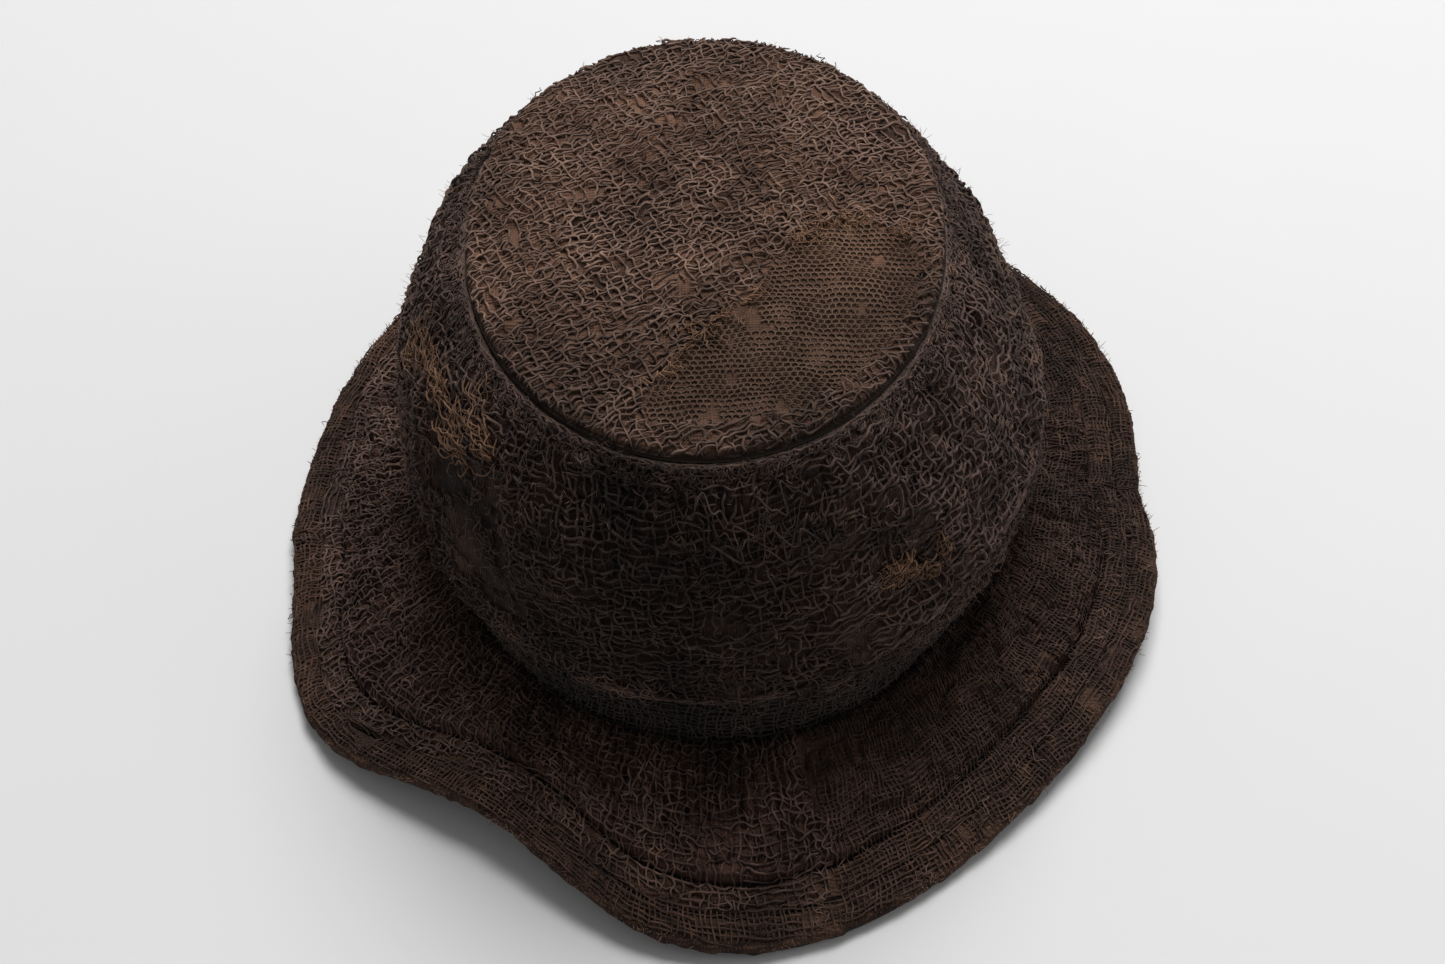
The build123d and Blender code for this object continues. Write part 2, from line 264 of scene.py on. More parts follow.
class SideSurface(Surface):
    """The side of the crown, from the brim seam to the tip. Its coordinates are angle and height."""

    ROWS, COLUMNS = 240, 44
    EDGE = 0.3 * MM

    def __init__(self, nodes: Sequence[str], outer: bool = True) -> None:
        boxes = [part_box(node) for node in nodes]
        self.bottom = min(low.z for low, _ in boxes) + self.EDGE
        self.top = max(high.z for _, high in boxes) - self.EDGE
        shell = Frame(*nodes)
        radii = np.zeros((self.ROWS, self.COLUMNS))
        for row in range(self.ROWS):
            turn = TURN * row / self.ROWS
            out = Vector((math.cos(turn), math.sin(turn), 0))
            for column in range(self.COLUMNS):
                z = self.bottom + (self.top - self.bottom) * column / (self.COLUMNS - 1)
                start = Vector((0, 0, z)) + out * (BEYOND if outer else NEAR_AXIS)
                spot = shell.hit(start, -out if outer else out)
                radii[row, column] = math.hypot(spot.x, spot.y)
        self.radii = Table(radii)
        self.mean = float(radii.mean())

    def point(self, a: Array, b: Array) -> Array:
        """Places on the side."""
        radius = self.radii.at(a, (b - self.bottom) / (self.top - self.bottom))
        return np.stack([radius * np.cos(a), radius * np.sin(a), b + 0 * a], -1)

    def place(self, a: Array, b: Array) -> tuple[Array, Array]:
        """Places and outward unit normals."""
        return self.frame_at(a, b, self.STEP / self.mean, self.STEP)

    def flat(self, a: Array, b: Array) -> tuple[Array, Array, float]:
        """Length round the crown, and height."""
        return a * self.mean, b + 0 * a, TURN * self.mean

    def spread(self, s: Array, b: Array) -> tuple[Array, Array]:
        """Places and normals at unrolled coordinates."""
        return self.place(s / self.mean, b)


class BrimSurface(Surface):
    """One face of the brim. Its coordinates are angle, and the share of the way out to the edge."""

    ROWS, COLUMNS = 240, 28
    MARGIN = 0.25 * MM
    LEAST_WIDTH = 20 * MM
    EXACTNESS = 0.02 * MM

    def __init__(self, nodes: Sequence[str], root: SideSurface, upper: bool = True) -> None:
        shell = Frame(*nodes)
        reach, height = np.zeros((self.ROWS, self.COLUMNS)), np.zeros((self.ROWS, self.COLUMNS))
        above = BEYOND if upper else -BEYOND
        for row in range(self.ROWS):
            turn = TURN * row / self.ROWS
            out = Vector((math.cos(turn), math.sin(turn), 0))
            inner = float(root.radii.at(np.array(turn), np.array(0.0)))
            short, far = inner + self.LEAST_WIDTH, BEYOND
            while far - short > self.EXACTNESS:
                middle = (short + far) / 2
                spot = shell.hit(out * middle + Vector((0, 0, above)), (0, 0, -above))
                short, far = (middle, far) if spot is not None else (short, middle)
            edge = short - self.MARGIN
            for column in range(self.COLUMNS):
                radius = inner + (edge - inner) * column / (self.COLUMNS - 1)
                spot = shell.hit(out * radius + Vector((0, 0, above)), (0, 0, -above))
                reach[row, column], height[row, column] = radius, spot.z
        self.reach, self.height = Table(reach), Table(height)
        self.width = float((reach[:, -1] - reach[:, 0]).mean())
        self.mean = float(reach.mean())
        self.upper = upper

    def point(self, a: Array, b: Array) -> Array:
        """Places on the brim's face."""
        radius, z = self.reach.at(a, b), self.height.at(a, b)
        return np.stack([radius * np.cos(a), radius * np.sin(a), z], -1)

    def place(self, a: Array, b: Array) -> tuple[Array, Array]:
        """Places and unit normals that point off the brim."""
        here, normal = self.frame_at(a, b, self.STEP / self.mean, -self.STEP / self.width)
        return here, normal if self.upper else -normal

    def flat(self, a: Array, b: Array) -> tuple[Array, Array, float]:
        """Length round the brim, and length outwards."""
        return a * self.mean, b * self.width, TURN * self.mean

    def spread(self, s: Array, b: Array) -> tuple[Array, Array]:
        """Places and normals at unrolled coordinates."""
        return self.place(s / self.mean, b / self.width)

    def span(self, angle: Array) -> Array:
        """How far it is from the crown out to the edge."""
        return self.reach.at(angle, 1 + 0 * angle) - self.reach.at(angle, 0 * angle)

    def share_from_edge(self, angle: Array, distance: Array | float) -> Array:
        """The share of the way out of a line that keeps its distance from the edge."""
        return 1 - distance / self.span(angle)


# ---------------- meshes


def build_mesh(name: str, points: Array, quads: Array, finish: "Finish",
               tone: Array | None = None) -> bpy.types.Object:
    """An object made of four-sided faces.

    Args:
        name: the object's name.
        points: one place for each corner.
        quads: four corner numbers for each face.
        finish: the material's recipe.
        tone: how pale each corner is from its dye and painted shade, from 0 in the creases to 1, or none for
            1.

    Returns:
        The object, smooth shaded and dressed.
    """
    mesh = bpy.data.meshes.new(name)
    mesh.vertices.add(len(points))
    mesh.vertices.foreach_set("co", np.ascontiguousarray(points, np.float32).ravel())
    mesh.loops.add(quads.size)
    mesh.loops.foreach_set("vertex_index", np.ascontiguousarray(quads, np.int32).ravel())
    mesh.polygons.add(len(quads))
    mesh.polygons.foreach_set("loop_start", np.arange(0, quads.size, 4, dtype=np.int32))
    mesh.polygons.foreach_set("use_smooth", np.ones(len(quads), bool))
    mesh.update(calc_edges=True)
    mesh.validate()
    pale = mesh.attributes.new("tone", "FLOAT", "POINT")
    values = np.ones(len(points)) if tone is None else np.clip(tone, 0, 1)
    pale.data.foreach_set("value", np.ascontiguousarray(values, np.float32))
    piece = bpy.data.objects.new(name, mesh)
    bpy.context.scene.collection.objects.link(piece)
    mesh.materials.append(finish.material())
    return piece


def lattice(first: tuple[float, float, int], second: tuple[float, float, int]) -> tuple[Array, Array]:
    """Grids of both coordinates, each given as its lowest and highest value and its number of places."""
    a, b = np.meshgrid(np.linspace(*first), np.linspace(*second), indexing="ij")
    return a, b


def grid_quads(rows: int, columns: int) -> Array:
    """Faces of a grid of corners, as four corner numbers for each face."""
    i = np.arange(rows - 1)[:, None]
    j = np.arange(columns - 1)[None, :]
    here, after = i * columns + j, (i + 1) * columns + j
    return np.stack([here, after, after + 1, here + 1], -1).reshape(-1, 4)


@dataclass
class Tubes:
    """Yarns gathered up to become one mesh.

    Args:
        sides: number of faces round a yarn.
    """

    sides: int = 4

    TAPER = 0.35    # radius of a yarn's ends, as a share of its own

    def __post_init__(self) -> None:
        self.points: list[Array] = []
        self.quads: list[Array] = []
        self.tones: list[Array] = []
        self.count = 0

    def add(self, paths: Array, normals: Array, radius: Array | float, tone: Array | float = 1.0) -> None:
        """Add yarns of equal numbers of points.

        Args:
            paths: yarn by point by coordinate.
            normals: a direction off the cloth, for each point.
            radius: of each yarn or point.
            tone: how pale each yarn or point is, from 0 to 1.
        """
        paths, normals = np.asarray(paths, float), np.broadcast_to(normals, paths.shape)
        strands, length, _ = paths.shape
        if strands == 0 or length < 2:
            return
        heading = np.gradient(paths, axis=1)
        across = np.cross(heading, normals)
        across /= np.maximum(np.linalg.norm(across, axis=-1, keepdims=True), TINY)
        up = np.cross(across, heading)
        up /= np.maximum(np.linalg.norm(up, axis=-1, keepdims=True), TINY)
        width = np.broadcast_to(np.asarray(radius, float), (strands, length)).copy()
        width[:, [0, -1]] *= self.TAPER
        turn = TURN * (np.arange(self.sides) + 0.5) / self.sides
        ring = (np.cos(turn)[:, None] * across[..., None, :]
                + np.sin(turn)[:, None] * up[..., None, :])
        corners = paths[..., None, :] + width[..., None, None] * ring
        self.points.append(corners.reshape(-1, 3))
        self.tones.append(np.repeat(np.broadcast_to(tone, (strands, length)).ravel(), self.sides))
        side = np.arange(self.sides)
        step = np.arange(length - 1)[:, None] * self.sides
        wall = np.stack([step + side, step + (side + 1) % self.sides,
                         step + self.sides + (side + 1) % self.sides, step + self.sides + side], -1)
        wall = wall.reshape(-1, 4)
        if self.sides == 4:
            last = (length - 1) * self.sides
            wall = np.concatenate([wall, [[3, 2, 1, 0]], [[last, last + 1, last + 2, last + 3]]])
        start = self.count + np.arange(strands)[:, None, None] * length * self.sides
        self.quads.append((start + wall).reshape(-1, 4))
        self.count += strands * length * self.sides

    def cover(self, surface: Surface, s: Array, b: Array, lift: Array, radius: Array | float,
              tone: Array | float = 1.0) -> None:
        """Add yarns that run over a surface.

        Args:
            surface: what they lie on.
            s: first unrolled coordinates, yarn by point.
            b: second coordinates.
            lift: height of each point.
            radius: of each yarn or point.
            tone: how pale each yarn or point is, from 0 to 1.
        """
        places, normals = surface.spread(s, b)
        self.add(places + normals * lift[..., None], normals, radius, tone)

    def build(self, name: str, finish: "Finish") -> bpy.types.Object:
        """Make the gathered yarns into one object."""
        points, quads, tones = (np.concatenate(part) for part in (self.points, self.quads, self.tones))
        return build_mesh(name, points, quads, finish, tones)


def runs(inside: Array, shortest: int) -> list[slice]:
    """Unbroken stretches of a row of flags, as slices of at least the shortest length."""
    edges = np.flatnonzero(np.diff(np.concatenate([[0], inside.astype(int), [0]])))
    return [slice(a, b) for a, b in zip(edges[::2], edges[1::2]) if b - a >= shortest]


# ---------------- materials


class Value:
    """A socket in a material's nodes, with arithmetic on numbers."""

    def __init__(self, tree: bpy.types.NodeTree, socket: bpy.types.NodeSocket) -> None:
        self.tree, self.socket = tree, socket

    def _math(self, operation: str, first: Any, second: Any) -> "Value":
        """A Math node on two values or numbers."""
        node = self.tree.nodes.new("ShaderNodeMath")
        node.operation = operation
        for slot, value in zip(node.inputs, (first, second)):
            if isinstance(value, Value):
                self.tree.links.new(value.socket, slot)
            else:
                slot.default_value = value
        return Value(self.tree, node.outputs[0])

    def __add__(self, other: Any) -> "Value":
        """Sum."""
        return self._math("ADD", self, other)

    def __sub__(self, other: Any) -> "Value":
        """Difference."""
        return self._math("SUBTRACT", self, other)

    def __mul__(self, other: Any) -> "Value":
        """Product."""
        return self._math("MULTIPLY", self, other)

    __radd__ = __add__
    __rmul__ = __mul__

    def above(self, low: float, high: float) -> "Value":
        """0 below low and 1 above high, rising evenly between."""
        node = self.tree.nodes.new("ShaderNodeMapRange")
        self.tree.links.new(self.socket, node.inputs["Value"])
        node.inputs["From Min"].default_value = low
        node.inputs["From Max"].default_value = high
        return Value(self.tree, node.outputs[0])


class Recipe:
    """A material while it is being mixed."""

    WAVE_SCALE = 3.2                        # the wave texture's scale for one wave in each unit
    CREASE = (0.004, 0.0028, 0.0024, 1.0)   # painted shade: the colour at the bottom of a crease, which every low tone fades to
    SHEEN_ROUGHNESS = 0.6
    SHINE = 0.12
    BUMP_STRENGTH = 0.8

    def __init__(self, name: str) -> None:
        self.material = bpy.data.materials.new(name)
        self.material.use_nodes = True
        self.tree = self.material.node_tree
        self.tree.nodes.clear()
        self.place = self.node("ShaderNodeTexCoord").outputs["Object"]
        attribute = self.node("ShaderNodeAttribute", {"attribute_name": "tone"})
        self.tone = Value(self.tree, attribute.outputs["Fac"])

    def node(self, kind: str, settings: dict[str, Any] | None = None,
             sockets: dict[Any, Any] | None = None) -> bpy.types.Node:
        """Any node.

        Args:
            kind: the node's type.
            settings: its own properties, which are set first.
            sockets: values or links of its inputs, by name or number.

        Returns:
            The node.
        """
        made = self.tree.nodes.new(kind)
        for key, value in (settings or {}).items():
            setattr(made, key, value)
        for key, value in (sockets or {}).items():
            if isinstance(value, Value):
                self.tree.links.new(value.socket, made.inputs[key])
            elif isinstance(value, bpy.types.NodeSocket):
                self.tree.links.new(value, made.inputs[key])
            else:
                made.inputs[key].default_value = value
        return made

    def noise(self, size: float, detail: float = 2.0) -> Value:
        """Noise from 0 to 1 with features of a size."""
        sockets = {"Vector": self.place, "Scale": 1 / size, "Detail": detail}
        made = self.node("ShaderNodeTexNoise", sockets=sockets)
        return Value(self.tree, made.outputs[0])

    def ribs(self, pitch: float, axis: str, wander: float) -> Value:
        """Waves across one axis, from 0 to 1."""
        settings = {"wave_type": "BANDS", "bands_direction": axis}
        sockets = {"Vector": self.place, "Scale": 1 / pitch / self.WAVE_SCALE, "Distortion": wander,
                   "Detail": 1.0}
        return Value(self.tree, self.node("ShaderNodeTexWave", settings, sockets).outputs[1])

    def blend(self, factor: Value | float, low: Any, high: Any) -> bpy.types.NodeSocket:
        """A colour between two colours."""
        made = self.node("ShaderNodeMix", {"data_type": "RGBA"}, {0: factor, 6: low, 7: high})
        return made.outputs[2]

    def toned(self, colour: Any) -> bpy.types.NodeSocket:
        """A colour that falls off to almost black as the tone falls, as painted shade in creases and hollows
        and as darker dye.
        """
        return self.blend(self.tone, self.CREASE, colour)

    def finish(self, colour: Any, roughness: Any, height: Value | None, depth: float,
               sheen: float = 0.0) -> bpy.types.Material:
        """Join everything to the shader.

        Args:
            colour: base colour.
            roughness: a number or a value.
            height: bump from 0 to 1, or none.
            depth: how deep the bump is, in metres.
            sheen: weight of the fuzz's sheen.

        Returns:
            The material.
        """
        sockets = {"Base Color": colour, "Roughness": roughness, "Sheen Weight": sheen,
                   "Sheen Roughness": self.SHEEN_ROUGHNESS, "Specular IOR Level": self.SHINE}
        shader = self.node("ShaderNodeBsdfPrincipled", sockets=sockets)
        if height is not None:
            sockets = {"Height": height, "Distance": depth, "Strength": self.BUMP_STRENGTH}
            bump = self.node("ShaderNodeBump", sockets=sockets)
            self.tree.links.new(bump.outputs[0], shader.inputs["Normal"])
        out = self.node("ShaderNodeOutputMaterial")
        self.tree.links.new(shader.outputs[0], out.inputs[0])
        return self.material


@dataclass(frozen=True)
class Finish:
    """What every finish has: a name, and a material made once."""

    name: str

    def material(self) -> bpy.types.Material:
        """The material, made the first time that it is asked for."""
        found = bpy.data.materials.get(self.name)
        return found if found else self.mix(Recipe(self.name))

    def mix(self, recipe: Recipe) -> bpy.types.Material:
        """Mix the material."""
        raise NotImplementedError


def shade(colour: Colour) -> tuple[float, float, float, float]:
    """A colour with its alpha."""
    return (*colour, 1.0)


@dataclass(frozen=True)
class YarnFinish(Finish):
    """Twisted cotton yarn, dyed unevenly and worn paler where it is rubbed."""

    dark: Colour
    light: Colour
    rubbed: Colour
    rubbed_share: float = 0.25
    patch: float = 22 * MM

    def mix(self, recipe: Recipe) -> bpy.types.Material:
        """Uneven dye, rubbed patches and a fine twist."""
        dye = recipe.noise(self.patch, 3.0) * 0.55 + recipe.noise(2.6 * MM, 2.0) * 0.45
        colour = recipe.blend(dye.above(0.36, 0.64), shade(self.dark), shade(self.light))
        worn = recipe.noise(9 * MM, 4.0).above(0.68 - self.rubbed_share * 0.4, 0.80)
        colour = recipe.blend(worn * 0.75, colour, shade(self.rubbed))
        twist = recipe.noise(0.35 * MM, 2.0)
        return recipe.finish(recipe.toned(colour), 0.92, twist, 0.12 * MM, 0.03)


@dataclass(frozen=True)
class ClothFinish(Finish):
    """Plain woven cloth with dye patches and a fine weave."""

    dark: Colour
    light: Colour
    weave: float = 0.8 * MM
    depth: float = 0.12 * MM
    patch: float = 16 * MM
    sheen: float = 0.03

    def mix(self, recipe: Recipe) -> bpy.types.Material:
        """Dye patches with warp and weft threads crossing."""
        dye = recipe.noise(self.patch, 4.0) * 0.6 + recipe.noise(1.3 * MM, 3.0) * 0.4
        colour = recipe.blend(dye.above(0.35, 0.65), shade(self.dark), shade(self.light))
        warp = recipe.ribs(self.weave, "X", 1.5)
        weft = recipe.ribs(self.weave, "Y", 1.5) + recipe.ribs(self.weave, "Z", 1.5) * 0.5
        threads = warp * 0.4 + weft * 0.3 + recipe.noise(0.5 * MM, 2.0) * 0.6
        return recipe.finish(recipe.toned(colour), 0.9, threads, self.depth, self.sheen)


@dataclass(frozen=True)
class WovenFinish(Finish):
    """Coarse cloth whose threads show one by one, paler on their tops and with painted shade in the gaps
    between them.
    """

    dark: Colour
    light: Colour
    thread: float = 1.3 * MM
    depth: float = 0.45 * MM
    patch: float = 20 * MM

    def mix(self, recipe: Recipe) -> bpy.types.Material:
        """Threads both ways with painted shade in the gaps between, over uneven dye."""
        dye = recipe.noise(self.patch, 5.0) * 0.55 + recipe.noise(3.2 * MM, 3.0) * 0.45
        warp, weft = recipe.ribs(self.thread, "X", 3.0), recipe.ribs(self.thread, "Y", 3.0)
        threads = warp * weft + recipe.noise(0.8 * MM, 2.0) * 0.35
        # painted shade: the colour follows the thread pattern, dark in the gaps between threads
        shown = dye.above(0.36, 0.64) * 0.75 + threads * 0.55 - 0.18
        colour = recipe.blend(shown.above(0.0, 1.0), shade(self.dark), shade(self.light))
        return recipe.finish(recipe.toned(colour), 0.92, threads, self.depth, 0.0)


@dataclass(frozen=True)
class FloorFinish(Finish):
    """A plain pale table."""

    colour: Colour
    darkest: float = 0.985

    def mix(self, recipe: Recipe) -> bpy.types.Material:
        """One even colour, broken by the faintest grain."""
        low = tuple(self.darkest * channel for channel in self.colour)
        colour = recipe.blend(recipe.noise(60 * MM), shade(low), shade(self.colour))
        return recipe.finish(colour, 0.75, None, 0.0)


BASE_CLOTH = WovenFinish("smooth_brown_cloth", (0.043, 0.022, 0.014), (0.148, 0.078, 0.050), thread=0.9 * MM)
SIDE_CLOTH = WovenFinish("dark_side_cloth", (0.014, 0.008, 0.006), (0.075, 0.043, 0.032), thread=0.9 * MM)
BRIM_CLOTH = WovenFinish("coarse_brim_cloth", (0.014, 0.0074, 0.0055), (0.088, 0.044, 0.031))
UNDER_CLOTH = WovenFinish("under_cloth", (0.022, 0.013, 0.010), (0.070, 0.041, 0.030))
LINING = ClothFinish("lining_cloth", (0.030, 0.022, 0.018), (0.052, 0.038, 0.031), weave=0.5 * MM)
STIFFENER = ClothFinish("stiffener_cloth", (0.22, 0.19, 0.15), (0.30, 0.27, 0.22), weave=0.6 * MM)
SWEAT_TAPE = ClothFinish("sweatband_tape", (0.034, 0.026, 0.020), (0.058, 0.044, 0.034), weave=0.7 * MM)
BRIM_THREAD = YarnFinish("brim_thread", (0.018, 0.0090, 0.0062), (0.092, 0.047, 0.030), (0.16, 0.088, 0.054))
HEM_TAPE = WovenFinish("hem_tape", (0.016, 0.0085, 0.006), (0.080, 0.043, 0.028), thread=1.1 * MM)
SEAM_CLOTH = ClothFinish("seam_cloth", (0.035, 0.023, 0.018), (0.105, 0.072, 0.058), weave=0.8 * MM)
TIP_YARN = YarnFinish("tip_yarn", (0.048, 0.027, 0.019), (0.178, 0.110, 0.082), (0.25, 0.158, 0.115))
SIDE_YARN = YarnFinish("side_yarn", (0.020, 0.0125, 0.0105), (0.105, 0.064, 0.050), (0.19, 0.112, 0.080))
BRIM_YARN = YarnFinish("brim_yarn", (0.030, 0.018, 0.015), (0.130, 0.077, 0.059), (0.195, 0.120, 0.088))
BAND_YARN = YarnFinish("band_yarn", (0.014, 0.010, 0.009), (0.045, 0.033, 0.027), (0.070, 0.050, 0.040), 0.1)
NET_YARN = YarnFinish("net_yarn", (0.050, 0.028, 0.018), (0.135, 0.082, 0.053), (0.20, 0.130, 0.085))
TUFT_YARN = YarnFinish("tuft_yarn", (0.050, 0.026, 0.015), (0.150, 0.080, 0.045), (0.22, 0.130, 0.078))
THREAD = YarnFinish("sewing_thread", (0.016, 0.010, 0.008), (0.060, 0.039, 0.030), (0.11, 0.075, 0.058))
TABLE = FloorFinish("pale_table", (0.46, 0.46, 0.46))


# ---------------- cloth and gauze on a surface


class Half(Enum):
    """The front or back half of the hat, as the angles that it covers."""

    FRONT = (math.pi, TURN)
    BACK = (0.0, math.pi)

    @property
    def word(self) -> str:
        """The half's name in node names."""
        return self.name.lower()


@dataclass(frozen=True)
class Crumple:
    """How crushed cloth stands off its face.

    Args:
        seed: picks the noise.
        fold: height of the broad folds.
        puff: height of the small bubbles.
        fine: height of the finest creases.
        puff_size: width of a bubble.
    """

    seed: int
    fold: float = 0.6 * MM
    puff: float = 0.7 * MM
    fine: float = 0.18 * MM
    puff_size: float = 4.4 * MM

    FOLD_SIZE, CREASE_SIZE = 13 * MM, 1.7 * MM
    SHIFT, SHIFT_SIZE = 1.2 * MM, 5 * MM
    FULLNESS, ROUNDNESS = 1.35, 0.55

    def height(self, s: Array, b: Array, around: float) -> Array:
        """Height at unrolled places, never below the face."""
        grain = Grain(self.seed)
        shift = self.SHIFT * grain.at(s, b + 0.31, self.SHIFT_SIZE, around)
        broad = 0.5 + 0.5 * grain.at(s, b, self.FOLD_SIZE, around)
        swell = self.FULLNESS * np.abs(grain.at(s, b + shift, self.puff_size, around))
        bubbles = np.clip(swell, 0, 1) ** self.ROUNDNESS
        creases = grain.at(s, b + 0.57, self.CREASE_SIZE, around)
        return np.maximum(self.fold * broad + self.puff * bubbles + self.fine * creases, 0)


@dataclass(frozen=True)
class Weave:
    """An open net of crinkled yarns that cross.

    Args:
        seed: picks the noise.
        row_pitch: between the yarns of the main direction.
        cross_pitch: between the yarns across them.
        radius: of a yarn.
        wander: how far a yarn swings to each side.
        ripple: length of one swing.
        rise: how far a yarn stands off the cloth in its waves.
        slant: turn of the main direction, in radians.
        openness: share of the net that has lost its cross yarns.
    """

    seed: int
    row_pitch: float = 2.1 * MM
    cross_pitch: float = 2.4 * MM
    radius: float = 0.34 * MM
    wander: float = 0.75 * MM
    ripple: float = 2.4 * MM
    rise: float = 0.9 * MM
    slant: float = 0.0
    openness: float = 0.15

    STEP = 0.62 * MM
    SHORTEST = 5                        # places in the shortest stretch of yarn
    DRIFT, DRIFT_SIZE = 1.1 * MM, 13 * MM
    WAVE_SIZE, HOLE_SIZE, SLUB_SIZE = 1.7 * MM, 6 * MM, 5 * MM
    SLUB = 0.28                         # how much a yarn thickens and thins

    def lay(self, tubes: Tubes, surface: Surface, span: tuple[float, float, float, float],
            around: float, base: Height, inside: Test, tone: Height | None = None) -> None:
        """Lay both directions of yarn.

        Args:
            tubes: where the yarns are gathered.
            surface: what they lie on.
            span: lowest and highest unrolled coordinates, as s, s, b, b.
            around: the length round, for noise that joins up, or 0.
            base: height of the cloth under a place.
            inside: whether the gauze covers a place.
            tone: how pale the yarn is at a place, from its dye and painted shade, or none for evenly pale.
        """
        middle = np.array([(span[0] + span[1]) / 2, (span[2] + span[3]) / 2])
        reach = np.array([(span[1] - span[0]) / 2, (span[3] - span[2]) / 2])
        for direction, pitch in enumerate((self.row_pitch, self.cross_pitch)):
            turn = self.slant + direction * math.pi / 2
            along = np.array([math.cos(turn), math.sin(turn)])
            across = np.array([-along[1], along[0]])
            long, wide = np.abs(along) @ reach, np.abs(across) @ reach
            p, q0 = np.meshgrid(np.arange(-long, long, self.STEP), np.arange(-wide, wide, pitch))
            grain = Grain(self.seed + 17 * direction)
            loose = Grain(self.seed + 5 + direction)
            swing = grain.at(p, q0 * 1.7 + 0.2, self.ripple)
            swing = swing + 0.5 * grain.at(p, q0 * 0.9 + 0.7, 2.6 * self.ripple)
            drift = loose.at(p, q0 + 0.1, self.DRIFT_SIZE)
            q = q0 + self.wander * swing + self.DRIFT * drift
            s = middle[0] + p * along[0] + q * across[0]
            b = middle[1] + p * along[1] + q * across[1]
            wave = 0.5 + 0.5 * grain.at(p, q0 * 5.3 + 0.4, self.WAVE_SIZE)
            height = base(s, b) + 0.8 * self.radius + self.rise * wave
            holes = loose.at(s, b + 0.9, self.HOLE_SIZE, around)
            here = inside(s, b) & (holes < 1 - 1.1 * self.openness * (1 + direction))
            places, normals = surface.spread(s, b)
            paths = places + normals * height[..., None]
            thick = self.radius * (1 + self.SLUB * loose.at(p, q0 * 3.1, self.SLUB_SIZE))
            # painted shade: each yarn is darker where its wave dips down to the cloth
            pale = (0.50 + 0.50 * wave) * (1.0 if tone is None else tone(s, b))
            for row in range(len(q0)):
                for stretch in runs(here[row], self.SHORTEST):
                    tubes.add(paths[row, stretch][None], normals[row, stretch][None],
                              thick[row, stretch][None], pale[row, stretch][None])


class PlanMask:
    """Where a CAD node lies in plan, softened at its edge.

    Args:
        node: the node's name.
    """

    CELL = 1.0 * MM
    CLEAR = 0.1     # how far above the node its rays start

    def __init__(self, node: str) -> None:
        low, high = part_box(node)
        self.low = np.array([low.x - 2 * self.CELL, low.y - 2 * self.CELL])
        shell = Frame(node)
        size = [int((high[k] - low[k]) / self.CELL) + 5 for k in range(2)]
        self.cells = np.zeros(size)
        for i in range(size[0]):
            for j in range(size[1]):
                start = (*(self.low + self.CELL * np.array([i, j])), high.z + self.CLEAR)
                self.cells[i, j] = shell.hit(start, (0, 0, -1)) is not None

    def at(self, x: Array, y: Array) -> Array:
        """1 inside the node and 0 outside."""
        u, v = (x - self.low[0]) / self.CELL, (y - self.low[1]) / self.CELL
        i = np.clip(u.astype(int), 0, self.cells.shape[0] - 2)
        j = np.clip(v.astype(int), 0, self.cells.shape[1] - 2)
        fu, fv = np.clip(u - i, 0, 1), np.clip(v - j, 0, 1)
        low = self.cells[i, j] * (1 - fu) + self.cells[i + 1, j] * fu
        high = self.cells[i, j + 1] * (1 - fu) + self.cells[i + 1, j + 1] * fu
        return low * (1 - fv) + high * fv


def settle(piece: bpy.types.Object, slot: str, *nodes: str) -> bpy.types.Object:
    """Seat a piece on the hat's one body and hide the CAD nodes that it replaces.

    Args:
        piece: the finished piece.
        slot: not used.
        nodes: the CAD nodes that it replaces.

    Returns:
        The piece.
    """
    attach(piece, "root")
    if nodes:
        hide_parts(*nodes)
    LOG.info("%s: %d faces", piece.name, len(piece.data.polygons))
    return piece


def scatter(rng: np.random.Generator, number: int, around: float, low: float, high: float,
            scale: float = 1.0) -> Array:
    """Random places all round the hat.

    Args:
        rng: the random draws.
        number: of places.
        around: the length round.
        low: lowest second coordinate, as a share of the scale.
        high: highest second coordinate, as a share of the scale.
        scale: of the second coordinates.

    Returns:
        Two unrolled coordinates for each place.
    """
    return np.stack([rng.uniform(0, around, number), rng.uniform(low, high, number) * scale], 1)


def patchy(spots: Array, seed: int, size: float, around: float, least: float) -> Array:
    """Those places where seeded noise with features of a size is above a least value."""
    return spots[Grain(seed).at(spots[:, 0], spots[:, 1], size, around) > least]


def panel(name: str, surface: Surface, a: Array, b: Array, height: Height, finish: Finish,
          tone: Height | None = None, crease: float = 0.0) -> bpy.types.Object:
    """One sheet of crumpled cloth on a surface.

    Args:
        name: the piece's name.
        surface: what the cloth lies on.
        a: a grid of first coordinates.
        b: a grid of second coordinates.
        height: how far the cloth stands off, from unrolled coordinates.
        finish: the cloth's finish.
        tone: how pale the cloth is at unrolled coordinates, from its dye and painted shade, or none for
            evenly pale.
        crease: height below which painted shade darkens the cloth in its creases, or 0 for no painted crease
            shade.

    Returns:
        The sheet.
    """
    points, normals = surface.place(a, b)
    s, t, _ = surface.flat(a, b)
    lift = height(s, t)
    pale = np.ones(a.shape) if tone is None else tone(s, t) + 0 * a
    # painted shade: the cloth is darkened where it lies low in its creases
    if crease:
        pale = pale * (0.2 + 0.8 * smooth(0.15 * crease, crease, lift))
    points = points + normals * lift[..., None]
    quads = grid_quads(*a.shape)
    flat_points = points.reshape(-1, 3)
    first = flat_points[quads[len(quads) // 2]]
    face = np.cross(first[1] - first[0], first[2] - first[0])
    if face @ normals.reshape(-1, 3)[quads[len(quads) // 2][0]] < 0:
        quads = quads[:, ::-1]
    return build_mesh(name, flat_points, quads, finish, pale.ravel())


